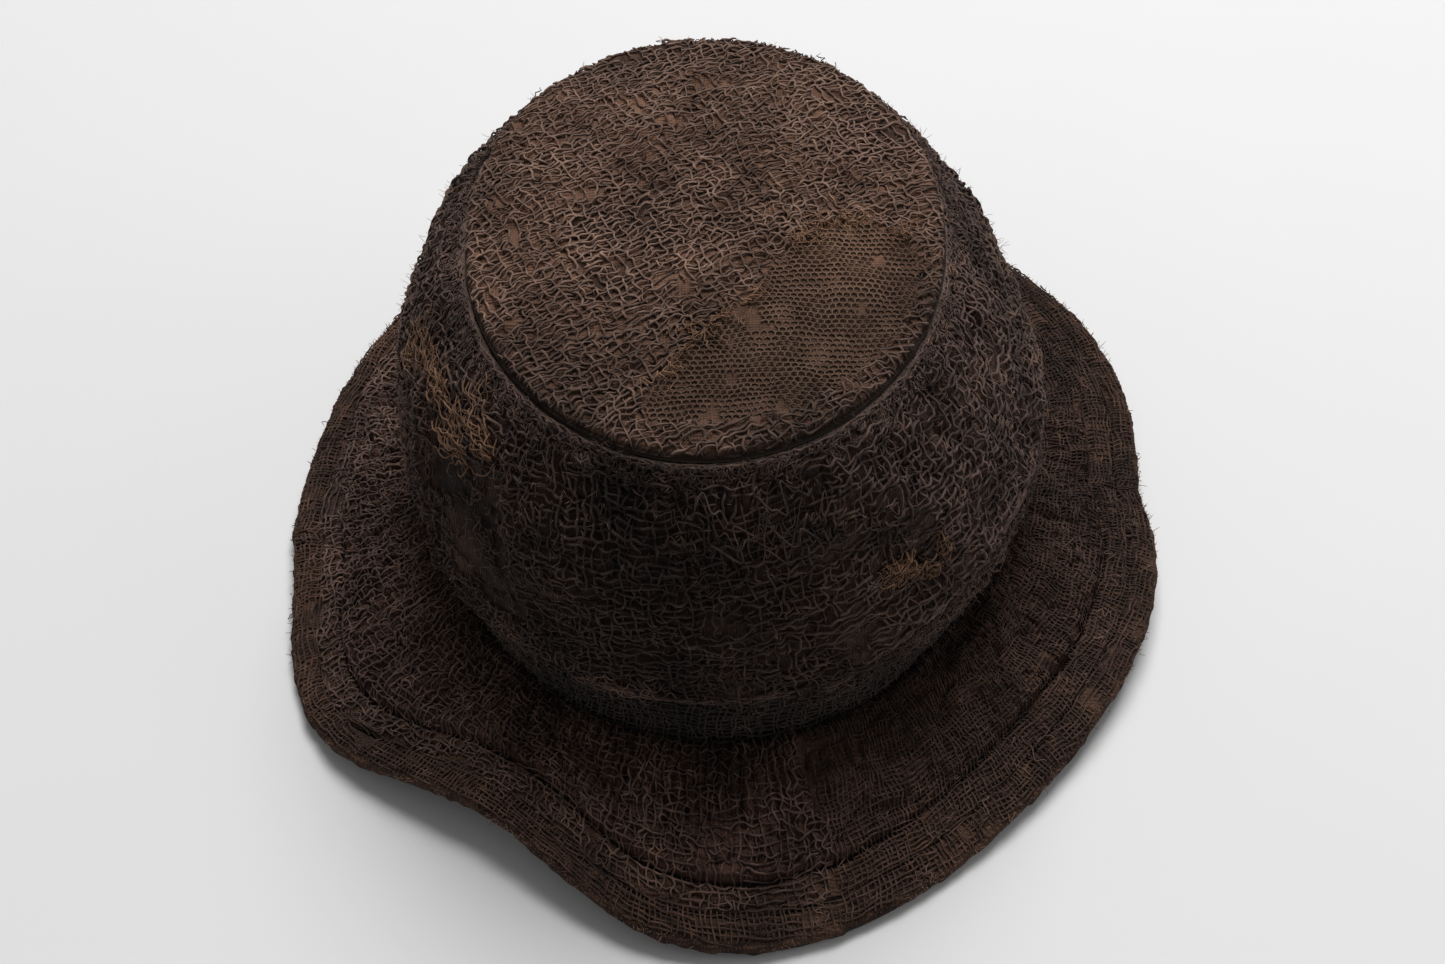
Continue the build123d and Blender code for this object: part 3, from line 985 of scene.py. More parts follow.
def strands(tubes: Tubes, surface: Surface, starts: Array, heads: Array, lengths: Array, seed: int,
            radius: float = 0.22 * MM, rise: float = 1.5 * MM, curl: float = 0.9 * MM,
            clear: float = 0.8 * MM, points: int = 14, tone: Height | None = None) -> None:
    """Loose strands that start on a surface and run over it.

    Args:
        tubes: where the strands are gathered.
        surface: what they lie on.
        starts: unrolled coordinates of each start.
        heads: heading of each, in radians, in unrolled coordinates.
        lengths: length of each.
        seed: picks the curls.
        radius: of a strand.
        rise: height of its arch.
        curl: how far it swings to the sides.
        clear: its least height.
        points: places along it.
        tone: how pale the yarn is at unrolled coordinates, from its dye and painted shade, or none for evenly
            pale.
    """
    rng = np.random.default_rng(seed)
    share = np.linspace(0, 1, points)[None, :]
    number = len(starts)
    phase = rng.uniform(0, TURN, (number, 3))
    speed = rng.uniform(0.8, 2.3, (number, 3))
    side = curl * (np.sin(TURN * share * speed[:, :1] + phase[:, :1]) - np.sin(phase[:, :1]))
    side = side + 0.5 * curl * np.sin(TURN * share * 2.1 * speed[:, 1:2] + phase[:, 1:2])
    lengths = np.broadcast_to(lengths, (number,))[:, None]
    s = starts[:, :1] + lengths * share * np.cos(heads)[:, None] - side * np.sin(heads)[:, None]
    b = starts[:, 1:] + lengths * share * np.sin(heads)[:, None] + side * np.cos(heads)[:, None]
    arch = rise * np.sin(math.pi * share ** 0.8) * rng.uniform(0.25, 1.0, (number, 1))
    wave = 0.35 * rise * (1 + np.sin(TURN * share * speed[:, 2:] + phase[:, 2:]))
    thick = radius * rng.uniform(0.65, 1.25, (number, 1)) * (1 - 0.45 * share)
    tubes.cover(surface, s, b, clear + arch + wave, thick, 1.0 if tone is None else tone(s, b))


def fuzz(tubes: Tubes, surface: Surface, starts: Array, clear: Array, seed: int,
         length: float = 1.8 * MM, radius: float = 0.06 * MM) -> None:
    """Short fibres that stand off the cloth.

    Args:
        tubes: where the fibres are gathered.
        surface: what they stand on.
        starts: unrolled coordinates of each.
        clear: height of the cloth under each.
        seed: picks their bends.
        length: of the longest.
        radius: of a fibre.
    """
    rng = np.random.default_rng(seed)
    places, normals = surface.spread(starts[:, 0], starts[:, 1])
    share = np.linspace(0, 1, 5)[None, :, None]
    lean = rng.normal(0, 1, (len(starts), 3))
    bend = rng.normal(0, 0.5, (len(starts), 3))
    reach = length * rng.uniform(0.3, 1.0, (len(starts), 1, 1))
    heading = normals * 0.75 + lean * 0.7
    paths = places[:, None] + normals[:, None] * clear[:, None, None]
    paths = paths + reach * (heading[:, None] * share + bend[:, None] * share * share)
    tubes.add(paths, lean[:, None] + 0 * paths, radius)


def row_of_stitches(surface: Surface, turns: Array, b: Array, clear: float, length: float,
                    radius: float, inward: bool = False) -> tuple[Array, Array]:
    """Bent threads that lie along a row and dip into the cloth at their ends.

    Args:
        surface: what they are sewn through.
        turns: angle of each stitch.
        b: second coordinate of each.
        clear: height of a stitch's middle.
        length: of a stitch.
        radius: of the thread.
        inward: whether they lie on the side that faces the middle.

    Returns:
        Paths and normals.
    """
    share = np.linspace(-0.5, 0.5, 5)[None, :]
    here, _ = surface.place(turns, b)
    reach = np.hypot(here[:, 0], here[:, 1])[:, None]
    a = turns[:, None] + length * share / reach
    places, normals = surface.place(a, b[:, None] + 0 * a)
    if inward:
        normals = -normals
    bow = clear - 4 * radius * (2 * share) ** 4
    return places + normals * (bow + 0 * a)[..., None], normals


# ---------------- the crown


@dataclass
class CrownTip:
    """The tip of the crown: cloth, gauze over it, a net patch and the lining below."""

    grid: int = 372
    seam_share: float = 0.970
    gauze_edge: float = 0.996
    net_pitch: float = 2.05 * MM
    net_radius: float = 0.27 * MM
    torn_spots: int = 60000
    frays: int = 700
    crumple: Crumple = Crumple(11, 0.9 * MM, 1.25 * MM, 0.15 * MM, 5.0 * MM)

    def __post_init__(self) -> None:
        self.surface = TipSurface("crown_tip_cloth")
        self.patch = PlanMask("tip_net_patch")

    def cloth_height(self, x: Array, y: Array) -> Array:
        """Height of the smooth cloth: bubbles most at the front, and a groove at the seam."""
        share = self.surface.share(x, y)
        grain = Grain(71)
        bubbly = smooth(-0.55, 0.35, grain.at(x, y, 26 * MM) + 8.0 * (-0.01 - y))
        full = self.crumple.height(x, y, 0.0) * (0.35 + 0.65 * bubbly)
        full = full * (1 - 0.7 * self.patch.at(x, y)) + 0.35 * MM * self.patch.at(x, y)
        front = 1 - 0.8 * smooth(-0.005, 0.03, y)
        groove = 0.5 * MM * front * smooth(0.98, 1.0, share)
        return full * (1 - front * smooth(self.seam_share, 0.998, share)) - groove

    def tone(self, x: Array, y: Array) -> Array:
        """Paleness, which is darker towards the front, with darker dye patches at random."""
        grain = Grain(75)
        return 1 - 0.42 * smooth(0.012, 0.060, -y + 0.2 * x) - 0.22 * np.clip(grain.at(x, y, 19 * MM), 0, 1)

    def disc(self, grid: int) -> tuple[Array, Array]:
        """A grid of places over the whole oval."""
        u, v = lattice((-1, 1, grid), (-1, 1, grid))
        reach = self.surface.half * 0.998
        return u * np.sqrt(1 - v * v / 2) * reach[0], v * np.sqrt(1 - u * u / 2) * reach[1]

    def cloth(self) -> bpy.types.Object:
        """The smooth brown cloth."""
        x, y = self.disc(self.grid)
        piece = panel("tip_smooth_cloth", self.surface, x, y, self.cloth_height, BASE_CLOTH, self.tone,
                      crease=0.8 * MM)
        return settle(piece, "base_cloth", "crown_tip_cloth")

    def gauze(self) -> bpy.types.Object:
        """The crinkled gauze, worn away under the net patch."""
        tubes = Tubes()
        half = self.surface.half

        def inside(x: Array, y: Array) -> Array:
            edge = self.gauze_edge + 0.008 * smooth(-0.005, 0.03, y)
            return (self.surface.share(x, y) < edge) & (self.patch.at(x, y) < 0.45)

        span = (-half[0], half[0], -half[1], half[1])
        weave = Weave(23, row_pitch=1.75 * MM, cross_pitch=2.9 * MM, wander=0.85 * MM, ripple=2.1 * MM,
                      slant=0.45, rise=1.0 * MM, openness=0.05)
        weave.lay(tubes, self.surface, span, 0.0, self.cloth_height, inside, self.tone)
        return settle(tubes.build("tip_crinkled_gauze", TIP_YARN), "gauze", "crown_tip_gauze")

    def net(self) -> bpy.types.Object:
        """The honeycomb net, as the three threads that leave each of its corners."""
        tubes = Tubes()
        half = self.surface.half
        side = self.net_pitch / math.sqrt(3)
        columns, rows = int(2 * half[0] / self.net_pitch) + 2, int(2 * half[1] / (1.5 * side)) + 2
        i, j = np.meshgrid(np.arange(columns), np.arange(rows), indexing="ij")
        x = -half[0] + self.net_pitch * (i + 0.5 * (j % 2))
        y = -half[1] + 1.5 * side * j
        starts = np.stack([x, y], -1).reshape(-1, 2)
        legs = []
        for third in range(3):
            turn = TURN / 4 + TURN * third / 3
            legs.append(np.stack([starts, starts + side * np.array([math.cos(turn), math.sin(turn)])], 1))
        ends = np.concatenate(legs)
        share = np.linspace(-0.12, 1.12, 5)[None, :, None]
        path = ends[:, :1] * (1 - share) + ends[:, 1:] * share
        grain = Grain(31)
        s, b = path[..., 0], path[..., 1]
        near, far = 0.45 * MM, 1.0 * MM
        warp_s = s + near * grain.at(s, b, 5 * MM) + far * grain.at(s, b, 17 * MM)
        warp_b = b + near * grain.at(s, b + 0.4, 5 * MM) + far * grain.at(s, b + 0.6, 17 * MM)
        centre_s, centre_b = warp_s.mean(1), warp_b.mean(1)
        keep = self.patch.at(centre_s, centre_b) > 0.5
        keep &= self.surface.share(centre_s, centre_b) < self.gauze_edge
        keep &= grain.at(centre_s, centre_b + 0.8, 6 * MM) > -0.93
        s, b = warp_s[keep], warp_b[keep]
        height = self.cloth_height(s, b) + 0.55 * MM + 0.35 * MM * grain.at(s, b + 1.1, 7 * MM)
        tubes.cover(self.surface, s, b, height, self.net_radius, 0.9 * self.tone(s, b))
        return settle(tubes.build("tip_honeycomb_net", NET_YARN), "net", "tip_net_patch")

    def frayed_edge(self) -> bpy.types.Object:
        """Strands that hang off the edge of the net where it is torn."""
        tubes = Tubes()
        rng = np.random.default_rng(5)
        half = self.surface.half
        spots = rng.uniform(-half, half, (self.torn_spots, 2))
        value = self.patch.at(spots[:, 0], spots[:, 1])
        open_edge = (self.surface.share(spots[:, 0], spots[:, 1]) < 0.86) & (spots[:, 1] > -0.075)
        spots = spots[(value > 0.35) & (value < 0.65) & open_edge][:self.frays]
        spots = patchy(spots, 9, 9 * MM, 0.0, 0.05)
        heads = rng.normal(0.6, 1.0, len(spots)) + math.pi * rng.integers(0, 2, len(spots))
        strands(tubes, self.surface, spots, heads, rng.uniform(3, 11, len(spots)) * MM, 6,
                radius=0.24 * MM, rise=1.6 * MM, curl=1.2 * MM, clear=1.7 * MM)
        return settle(tubes.build("tip_net_frayed_edge", TUFT_YARN), "net")

    def lining(self) -> bpy.types.Object:
        """The lining under the tip, seen from inside."""
        inner = TipSurface("crown_tip_lining", above=False)
        x, y = self.disc(90)

        def slack(s: Array, b: Array) -> Array:
            return -0.6 * MM * (0.5 + 0.5 * Grain(77).at(s, b, 22 * MM)) - 0.1 * MM

        piece = panel("tip_lining_cloth", inner, x, y, slack, LINING)
        return settle(piece, "lining", "crown_tip_lining")

    def build(self) -> list[bpy.types.Object]:
        """Make the whole tip."""
        return [self.cloth(), self.gauze(), self.net(), self.frayed_edge(), self.lining()]


@dataclass
class CrownSide:
    """The side of the crown: cloth and gauze panels, a turned-down seam, lining and loose yarn."""

    around_step: float = 0.42 * MM
    height_step: float = 0.5 * MM
    ridge_turn: float = math.radians(203)
    ridge_lean: float = math.radians(12)
    crumple: Crumple = Crumple(41, 1.5 * MM, 1.1 * MM, 0.25 * MM, 4.6 * MM)

    DARKEST, DARK_REACH = math.radians(258), 0.62   # where the painted shade is darkest, on the front that faces away from the lamp, and how far it spreads
    OVERLAP_END, OVERLAP_SWEEP = 352, 68            # the upper layer's frayed edge, in degrees
    OVERLAP_TOP, OVERLAP_FALL = 0.084, 0.030
    LOOPS, EDGE_PLACES, EDGE_YARNS, EDGE_FRAYS = 14, 240, 7, 300
    PULLED, FOLD_THREADS, SEAM_FRAYS = 900, 170, 1500

    def __post_init__(self) -> None:
        self.surface = SideSurface(["crown_front_cloth", "crown_back_cloth"])
        self.around = TURN * self.surface.mean
        self.band_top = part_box("hat_band")[1].z
        self.ridge_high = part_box("tip_seam_ridge")[1].z
        self.roll_low = self.ridge_high - 2.2 * MM

    def fold_turn(self, b: Array) -> Array:
        """Angle of the upright fold on the left, at a height."""
        return self.ridge_turn + self.ridge_lean * (0.112 - b) / 0.06

    def tone(self, s: Array, b: Array) -> Array:
        """Paleness, with painted shade darkest at the middle of the front and painted shade just under the
        frayed edge of the upper layer, over patches of dye.
        """
        turn = s / self.surface.mean % TURN
        # painted shade: the front of the crown faces away from the lamp
        shadow = np.exp(-((turn - self.DARKEST) / self.DARK_REACH) ** 2)
        grain = Grain(55)
        above = b - self.overlap_height(turn)
        # painted shade under the lip of the upper layer, where it stands off over its frayed edge
        under = smooth(-7 * MM, -0.5 * MM, above) * (above < 0)
        under = under * smooth(math.radians(284), math.radians(298), turn)
        patches = 0.2 * np.clip(grain.at(s, b, 17 * MM, self.around), 0, 1)
        return (1 - 0.55 * shadow - patches) * (1 - 0.55 * under)

    def overlap_height(self, turn: Array) -> Array:
        """Height of the frayed edge of the upper layer, which falls towards the front."""
        share = np.clip((math.radians(self.OVERLAP_END) - turn) / math.radians(self.OVERLAP_SWEEP), 0, 1)
        return self.OVERLAP_TOP - self.OVERLAP_FALL * share - 4 * MM * np.sin(TURN * share)

    def overlap(self, turn: Array, b: Array) -> Array:
        """How far the upper layer stands off above its frayed edge."""
        begun = smooth(math.radians(280), math.radians(294), turn)
        ended = smooth(math.radians(350), math.radians(358), turn)
        above = b - self.overlap_height(turn)
        lip = smooth(-0.4 * MM, 0.8 * MM, above) * (1 - smooth(4 * MM, 16 * MM, above))
        return 2.0 * MM * begun * (1 - ended) * lip

    def smooth_panel(self, s: Array, b: Array) -> Array:
        """1 on the smoother stretch beside the fold, where the gauze has lost its crinkle."""
        past = s / self.surface.mean - self.fold_turn(b)
        beside = smooth(0.03, 0.10, past) * (1 - smooth(0.42, 0.52, past))
        return beside * smooth(0.062, 0.072, b) * (1 - smooth(0.104, 0.112, b))

    def cloth_height(self, s: Array, b: Array) -> Array:
        """Height of the smooth cloth: a fold on the left, and calm at the seams and in the band."""
        turn = s / self.surface.mean % TURN
        across = (turn - self.fold_turn(b)) * self.surface.mean
        fold = 2.0 * MM * np.exp(-(across / (1.6 * MM)) ** 2)
        fold = fold * smooth(0.048, 0.058, b) * (1 - smooth(0.108, 0.118, b))
        full = self.crumple.height(s, b, self.around) * (1 - 0.7 * self.smooth_panel(s, b))
        waves = Grain(90).at(s + 0.7 * b, b, 24 * MM, self.around) * 0.5 * MM * smooth(0.03, 0.06, b)
        lumpy = smooth(math.radians(265), math.radians(290), turn) * smooth(0.085, 0.105, b)
        lumps = np.abs(Grain(93).at(s, b, 8 * MM, self.around)) ** 0.6
        waves = waves + 1.3 * MM * (0.35 + 0.65 * lumpy) * lumps
        calm = smooth(self.surface.bottom, self.band_top + 3 * MM, b) * 0.75 + 0.25
        calm = calm * (1 - smooth(self.roll_low - 2 * MM, self.roll_low + 2 * MM, b))
        return np.maximum(full * calm + waves * calm, 0) + fold + self.overlap(turn, b) + 0.05 * MM

    def cloth(self, half: Half) -> bpy.types.Object:
        """The smooth brown cloth of one half."""
        low, high = half.value
        rows = int((high - low) * self.surface.mean / self.around_step)
        columns = int((self.surface.top - self.surface.bottom) / self.height_step)
        a, b = lattice((low, high, rows), (self.surface.bottom, self.surface.top, columns))
        name = f"side_{half.word}_smooth_cloth"
        piece = panel(name, self.surface, a, b, self.cloth_height, SIDE_CLOTH, self.tone, 1.0 * MM)
        return settle(piece, "base_cloth", f"crown_{half.word}_cloth")

    def gauze(self, half: Half) -> bpy.types.Object:
        """The crinkled gauze of one half, which hangs a little over the hat band."""
        tubes = Tubes()
        low, high = (turn * self.surface.mean for turn in half.value)
        grain = Grain(52)

        def inside(s: Array, b: Array) -> Array:
            hem = self.band_top - 2 * MM + 2.5 * MM * grain.at(s, 0 * b, 9 * MM, self.around)
            sparse = (self.smooth_panel(s, b) > 0.5) & (grain.at(s, b, 2.5 * MM) > -0.1)
            top = self.roll_low + 0.8 * MM + 1.4 * MM * smooth(0.15, 0.4, np.sin(s / self.surface.mean))
            return (b > hem) & (b < top) & (s >= low) & (s <= high) & ~sparse

        weave = Weave(61 + len(half.word), row_pitch=2.0 * MM, cross_pitch=2.5 * MM, slant=0.10,
                      wander=0.85 * MM, rise=1.25 * MM, radius=0.36 * MM)
        span = (low, high, self.band_top - 5 * MM, self.ridge_high)
        weave.lay(tubes, self.surface, span, self.around, self.cloth_height, inside, self.tone)
        name = f"side_{half.word}_crinkled_gauze"
        return settle(tubes.build(name, SIDE_YARN), "gauze", f"crown_{half.word}_gauze")

    def ridge(self) -> bpy.types.Object:
        """The seam allowance, turned down and sewn round the top of the side."""
        a, b = lattice((0, TURN, 1500), (0, 1, 18))
        grain = Grain(83)
        sag = 0.5 * MM * grain.at(a * self.surface.mean, 0 * a, 9 * MM, self.around)
        height = self.roll_low + sag + (self.surface.top - self.roll_low - sag) * b

        def roll(s: Array, z: Array) -> Array:
            arch = np.sin(math.pi * np.clip(b * 0.93 + 0.02, 0, 1)) ** 0.45
            fine = 0.35 * MM * grain.at(s, z, 1.6 * MM, self.around)
            twist = 0.25 * MM * np.sin(TURN * (s / (1.6 * MM) + z / (3.0 * MM)))
            round_roll = 1.35 * MM + 0.5 * MM * grain.at(s, z, 6 * MM, self.around)
            return (round_roll + fine + twist) * arch - 0.1 * MM

        piece = panel("tip_seam_roll", self.surface, a, height, roll, SEAM_CLOTH, self.tone)
        return settle(piece, "gauze", "tip_seam_ridge")

    def seam_fringe(self, tubes: Tubes) -> None:
        """Yarns that run along the tip seam and short ones that cross it."""
        mean, top = self.surface.mean, self.surface.top
        grain = Grain(87)
        a = np.linspace(0, TURN, 1400)[None, :]
        row = np.arange(4)[:, None]
        swing = 0.55 * MM * grain.at(a * mean, 0.01 * row + 0 * a, 2.6 * MM, self.around)
        b = top - 0.4 * MM - 0.75 * MM * row + swing
        lift = 1.5 * MM + 0.45 * MM * grain.at(a * mean, 0.02 * row + 0 * a, 1.7 * MM, self.around)
        places, normals = self.surface.place(a + 0 * b, np.minimum(b, top))
        pale = np.clip(1.5 * self.tone(a * mean + 0 * b, b), 0, 1)
        tubes.add(places + normals * lift[..., None], normals, 0.33 * MM, pale)
        rng = np.random.default_rng(88)
        number = self.SEAM_FRAYS
        spots = np.stack([rng.uniform(0, self.around, number), top - rng.uniform(0, 5, number) * MM], 1)
        strands(tubes, self.surface, spots, rng.normal(-0.7, 0.9, number), rng.uniform(2, 6, number) * MM, 89,
                radius=0.24 * MM, rise=1.0 * MM, curl=1.0 * MM, clear=1.7 * MM, points=10, tone=self.tone)

    def lining(self, half: Half) -> bpy.types.Object:
        """The lining of one half, seen from inside."""
        inner = SideSurface(["crown_front_lining", "crown_back_lining"], outer=False)
        a, b = lattice((*half.value, 260), (inner.bottom, inner.top, 80))

        def slack(s: Array, z: Array) -> Array:
            return -0.9 * MM * (0.5 + 0.5 * Grain(78).at(s, z, 20 * MM, self.around)) * smooth(0.045, 0.06, z)

        piece = panel(f"side_{half.word}_lining_cloth", inner, a, b, slack, LINING)
        return settle(piece, "lining", f"crown_{half.word}_lining")

    def tuft(self, name: str, node: str, seed: int, count: int, head: float,
             longest: float) -> bpy.types.Object:
        """A bundle of loose twisted yarn where a CAD lump lies.

        Args:
            name: the piece's name.
            node: the CAD node.
            seed: picks the strands.
            count: number of strands.
            head: their usual heading, in radians.
            longest: length of the longest.

        Returns:
            The bundle.
        """
        tubes = Tubes()
        rng = np.random.default_rng(seed)
        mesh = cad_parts[node].data
        spots = np.array([vertex.co for vertex in mesh.vertices])
        turns = np.arctan2(spots[:, 1], spots[:, 0]) % TURN
        low = np.array([turns.min() * self.surface.mean, spots[:, 2].min()])
        high = np.array([turns.max() * self.surface.mean, spots[:, 2].max()])
        clump = rng.uniform(low, high, (max(3, count // 9), 2))
        starts = clump[rng.integers(0, len(clump), count)] + rng.normal(0, 1.2 * MM, (count, 2))
        heads = head + rng.normal(0, 0.28, count)
        strands(tubes, self.surface, starts, heads, rng.uniform(0.35, 1.0, count) * longest, seed + 1,
                radius=0.27 * MM, rise=2.4 * MM, curl=1.0 * MM, clear=1.6 * MM, points=20)
        return settle(tubes.build(name, TUFT_YARN), "yarn", node)

    def loose_threads(self) -> bpy.types.Object:
        """Loops, pulled threads and the frayed overlap that runs down the right of the crown."""
        tubes = Tubes()
        rng = np.random.default_rng(97)
        mean = self.surface.mean
        number = self.LOOPS
        loops = np.stack([np.radians(rng.uniform(268, 288, number)) * mean,
                          rng.uniform(0.110, 0.121, number)], 1)
        heads = rng.uniform(-0.6, 0.6, number) + math.pi * rng.integers(0, 2, number)
        strands(tubes, self.surface, loops, heads, rng.uniform(8, 17, number) * MM, 98, radius=0.28 * MM,
                rise=3.0 * MM, curl=3.0 * MM, clear=1.9 * MM, points=26, tone=self.tone)
        share = np.linspace(0, 1, self.EDGE_PLACES)
        edge_turn = np.radians(self.OVERLAP_END - self.OVERLAP_SWEEP * share)
        edge_height = self.overlap_height(edge_turn)
        for strand in range(self.EDGE_YARNS):
            winding = TURN * (share * 9 + strand / self.EDGE_YARNS)
            wave = 0.9 * MM * np.sin(winding) + 0.5 * MM * rng.normal(0, 1)
            a = edge_turn + 0.8 * MM / mean * np.cos(winding)
            height = 2.2 * MM + 0.6 * MM * np.cos(TURN * (share * 11 + strand / self.EDGE_YARNS))
            places, normals = self.surface.place(a, edge_height + wave)
            height = height + 0.6 * self.cloth_height(a * mean, edge_height)
            tubes.add((places + normals * height[:, None])[None], normals[None], 0.42 * MM)
        number = self.EDGE_FRAYS
        pick = rng.integers(0, self.EDGE_PLACES, number)
        starts = np.stack([edge_turn[pick] * mean, edge_height[pick]], 1)
        starts = starts + rng.normal(0, 1.2 * MM, (number, 2))
        heads = rng.normal(-2.3, 0.8, number)
        strands(tubes, self.surface, starts, heads, rng.uniform(3, 11, number) * MM, 99, radius=0.22 * MM,
                rise=1.8 * MM, curl=1.2 * MM, clear=1.8 * MM, tone=self.tone)
        spots = patchy(scatter(rng, self.PULLED, self.around, 0.060, 0.124), 15, 12 * MM, self.around, -0.05)
        heads = rng.normal(0, 0.7, len(spots))
        strands(tubes, self.surface, spots, heads, rng.uniform(4, 12, len(spots)) * MM, 16, radius=0.2 * MM,
                rise=1.6 * MM, curl=1.6 * MM, clear=1.6 * MM, tone=self.tone)
        number = self.FOLD_THREADS
        fold = rng.uniform(0.055, 0.112, number)
        starts = np.stack([self.fold_turn(fold) * mean, fold], 1) + rng.normal(0, 0.7 * MM, (number, 2))
        heads = rng.normal(-math.pi / 2, 0.3, number)
        strands(tubes, self.surface, starts, heads, rng.uniform(4, 11, number) * MM, 18, radius=0.24 * MM,
                rise=0.8 * MM, curl=0.7 * MM, clear=1.6 * MM)
        self.seam_fringe(tubes)
        return settle(tubes.build("crown_loose_threads", SIDE_YARN), "yarn")

    def build(self) -> list[bpy.types.Object]:
        """Make the whole side."""
        made = []
        for half in Half:
            made += [self.cloth(half), self.gauze(half), self.lining(half)]
        return made + [
            self.ridge(),
            self.tuft("left_tuft", "left_yarn_tuft", 201, 130, math.pi - 0.1, 24 * MM),
            self.tuft("front_tuft", "front_yarn_tuft", 211, 60, 2.7, 9 * MM),
            self.loose_threads(),
        ]


# ---------------- bands


@dataclass
class HatBand:
    """The loose dark gauze wound round the foot of the crown.

    Args:
        side: the side of the crown, which it lies on.
        rib_pitch: between the upright double yarns.
        row_pitch: between the level yarns.
        radius: of a yarn.
        rib_places: number of places along an upright yarn.
        frays: number of frayed threads tried along its top.
        pulled: number of long threads pulled up at the front.
    """

    side: CrownSide
    rib_pitch: float = 3.6 * MM
    row_pitch: float = 2.5 * MM
    radius: float = 0.38 * MM
    rib_places: int = 34
    frays: int = 520
    pulled: int = 5

    def __post_init__(self) -> None:
        low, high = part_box("hat_band")
        self.low, self.high = low.z + 0.6 * MM, high.z - 0.3 * MM

    def height(self, s: Array, b: Array) -> Array:
        """How far the middle of the band's yarns stands off the crown's face."""
        grain = Grain(133)
        slack = 0.5 + 0.5 * grain.at(s, b, 8 * MM, self.side.around)
        return self.side.cloth_height(s, b) * 0.6 + 0.5 * MM + 0.7 * MM * slack

    def rows(self, tubes: Tubes) -> None:
        """The level yarns, which sag and swing."""
        side, grain = self.side, Grain(134)
        s = np.arange(0, side.around + 0.6 * MM, 0.6 * MM)[None, :]
        base = np.arange(self.low, self.high, self.row_pitch)[:, None]
        b = base + 0.55 * MM * grain.at(s, base * 5 + 0 * s, 3.2 * MM, side.around)
        b = b + 0.9 * MM * grain.at(s, base + 0.3 + 0 * s, 15 * MM, side.around)
        b = np.clip(b, self.low, self.high + 0.6 * MM)
        s = s + 0 * b
        lift = self.height(s, b) + 0.3 * MM * grain.at(s, b * 7, 1.9 * MM, side.around)
        tubes.cover(side.surface, s, b, lift, self.radius, side.tone(s, b))

    def ribs(self, tubes: Tubes) -> None:
        """The upright yarns, in close pairs."""
        side, grain = self.side, Grain(135)
        number = int(side.around / self.rib_pitch)
        share = np.linspace(0, 1, self.rib_places)[None, :]
        rng = np.random.default_rng(136)
        for pair in (-0.5, 0.5):
            s0 = (np.arange(number)[:, None] + 0.3 * rng.normal(0, 0.4, (number, 1))) * side.around / number
            top = self.high + rng.uniform(-0.5, 1.2, (number, 1)) * MM
            b = self.low + (top - self.low) * share
            s = s0 + pair * 0.85 * MM + 0.5 * MM * grain.at(s0 * 3 + 0 * b, b, 3.5 * MM)
            s = s + 0.9 * MM * grain.at(s0 + 0 * b, b + 0.5, 12 * MM, side.around)
            lift = self.height(s, b) + 0.35 * MM * np.sin(math.pi * (b - self.low) / self.row_pitch)
            tubes.cover(side.surface, s, b, lift, self.radius * 0.95, side.tone(s, b))

    def fray(self, tubes: Tubes) -> None:
        """Short threads along the band's top, and long pulled ones at the front."""
        side, surface = self.side, self.side.surface
        rng = np.random.default_rng(141)
        spots = np.stack([rng.uniform(0, side.around, self.frays),
                          self.high + rng.normal(0, 0.8 * MM, self.frays)], 1)
        spots = patchy(spots, 17, 18 * MM, side.around, -0.2)
        heads = rng.normal(0, 0.5, len(spots))
        strands(tubes, surface, spots, heads, rng.uniform(4, 13, len(spots)) * MM, 142, radius=0.22 * MM,
                rise=1.5 * MM, curl=1.1 * MM, clear=1.6 * MM)
        row = np.arange(self.pulled)[:, None]
        share = np.linspace(0, 1, 260)[None, :]
        turns = np.radians(246 + 47 * share) + 0 * row
        s = turns * surface.mean
        grain = Grain(143)
        swing = 0.7 * MM * grain.at(s, 0.01 * row + 0 * s, 2.2 * MM)
        b = self.high - 0.6 * MM + 0.5 * MM * row * share + swing
        lift = 2.5 * MM + 0.6 * MM * grain.at(s, 0.01 * row + 0.5 + 0 * s, 3 * MM)
        places, normals = surface.place(turns, b)
        tubes.add(places + normals * lift[..., None], normals, 0.26 * MM)

    def build(self) -> list[bpy.types.Object]:
        """Make the band and the frayed threads along its top."""
        tubes = Tubes()
        self.rows(tubes)
        self.ribs(tubes)
        band = settle(tubes.build("hat_band_gauze", BAND_YARN), "band_gauze", "hat_band")
        frayed = Tubes()
        self.fray(frayed)
        return [band, settle(frayed.build("hat_band_frayed_edge", SIDE_YARN), "band_gauze")]


@dataclass
class Sweatband:
    """The tape sewn round the inside of the head opening."""

    step: float = 0.8 * MM

    def build(self) -> list[bpy.types.Object]:
        """Make the tape, with its ribs as fine waves."""
        inner = SideSurface(["sweatband"], outer=False)
        around = TURN * inner.mean
        a, b = lattice((0, TURN, int(around / self.step)), (inner.bottom, inner.top, 60))

        def wave(s: Array, z: Array) -> Array:
            ribs = 0.16 * MM * np.sin(TURN * z / (1.9 * MM))
            return -0.25 * MM * (0.5 + 0.5 * Grain(151).at(s, z, 14 * MM, around)) + ribs

        piece = panel("sweatband_tape", inner, a, b, wave, SWEAT_TAPE)
        return [settle(piece, "sweatband_cloth", "sweatband")]


# ---------------- the brim


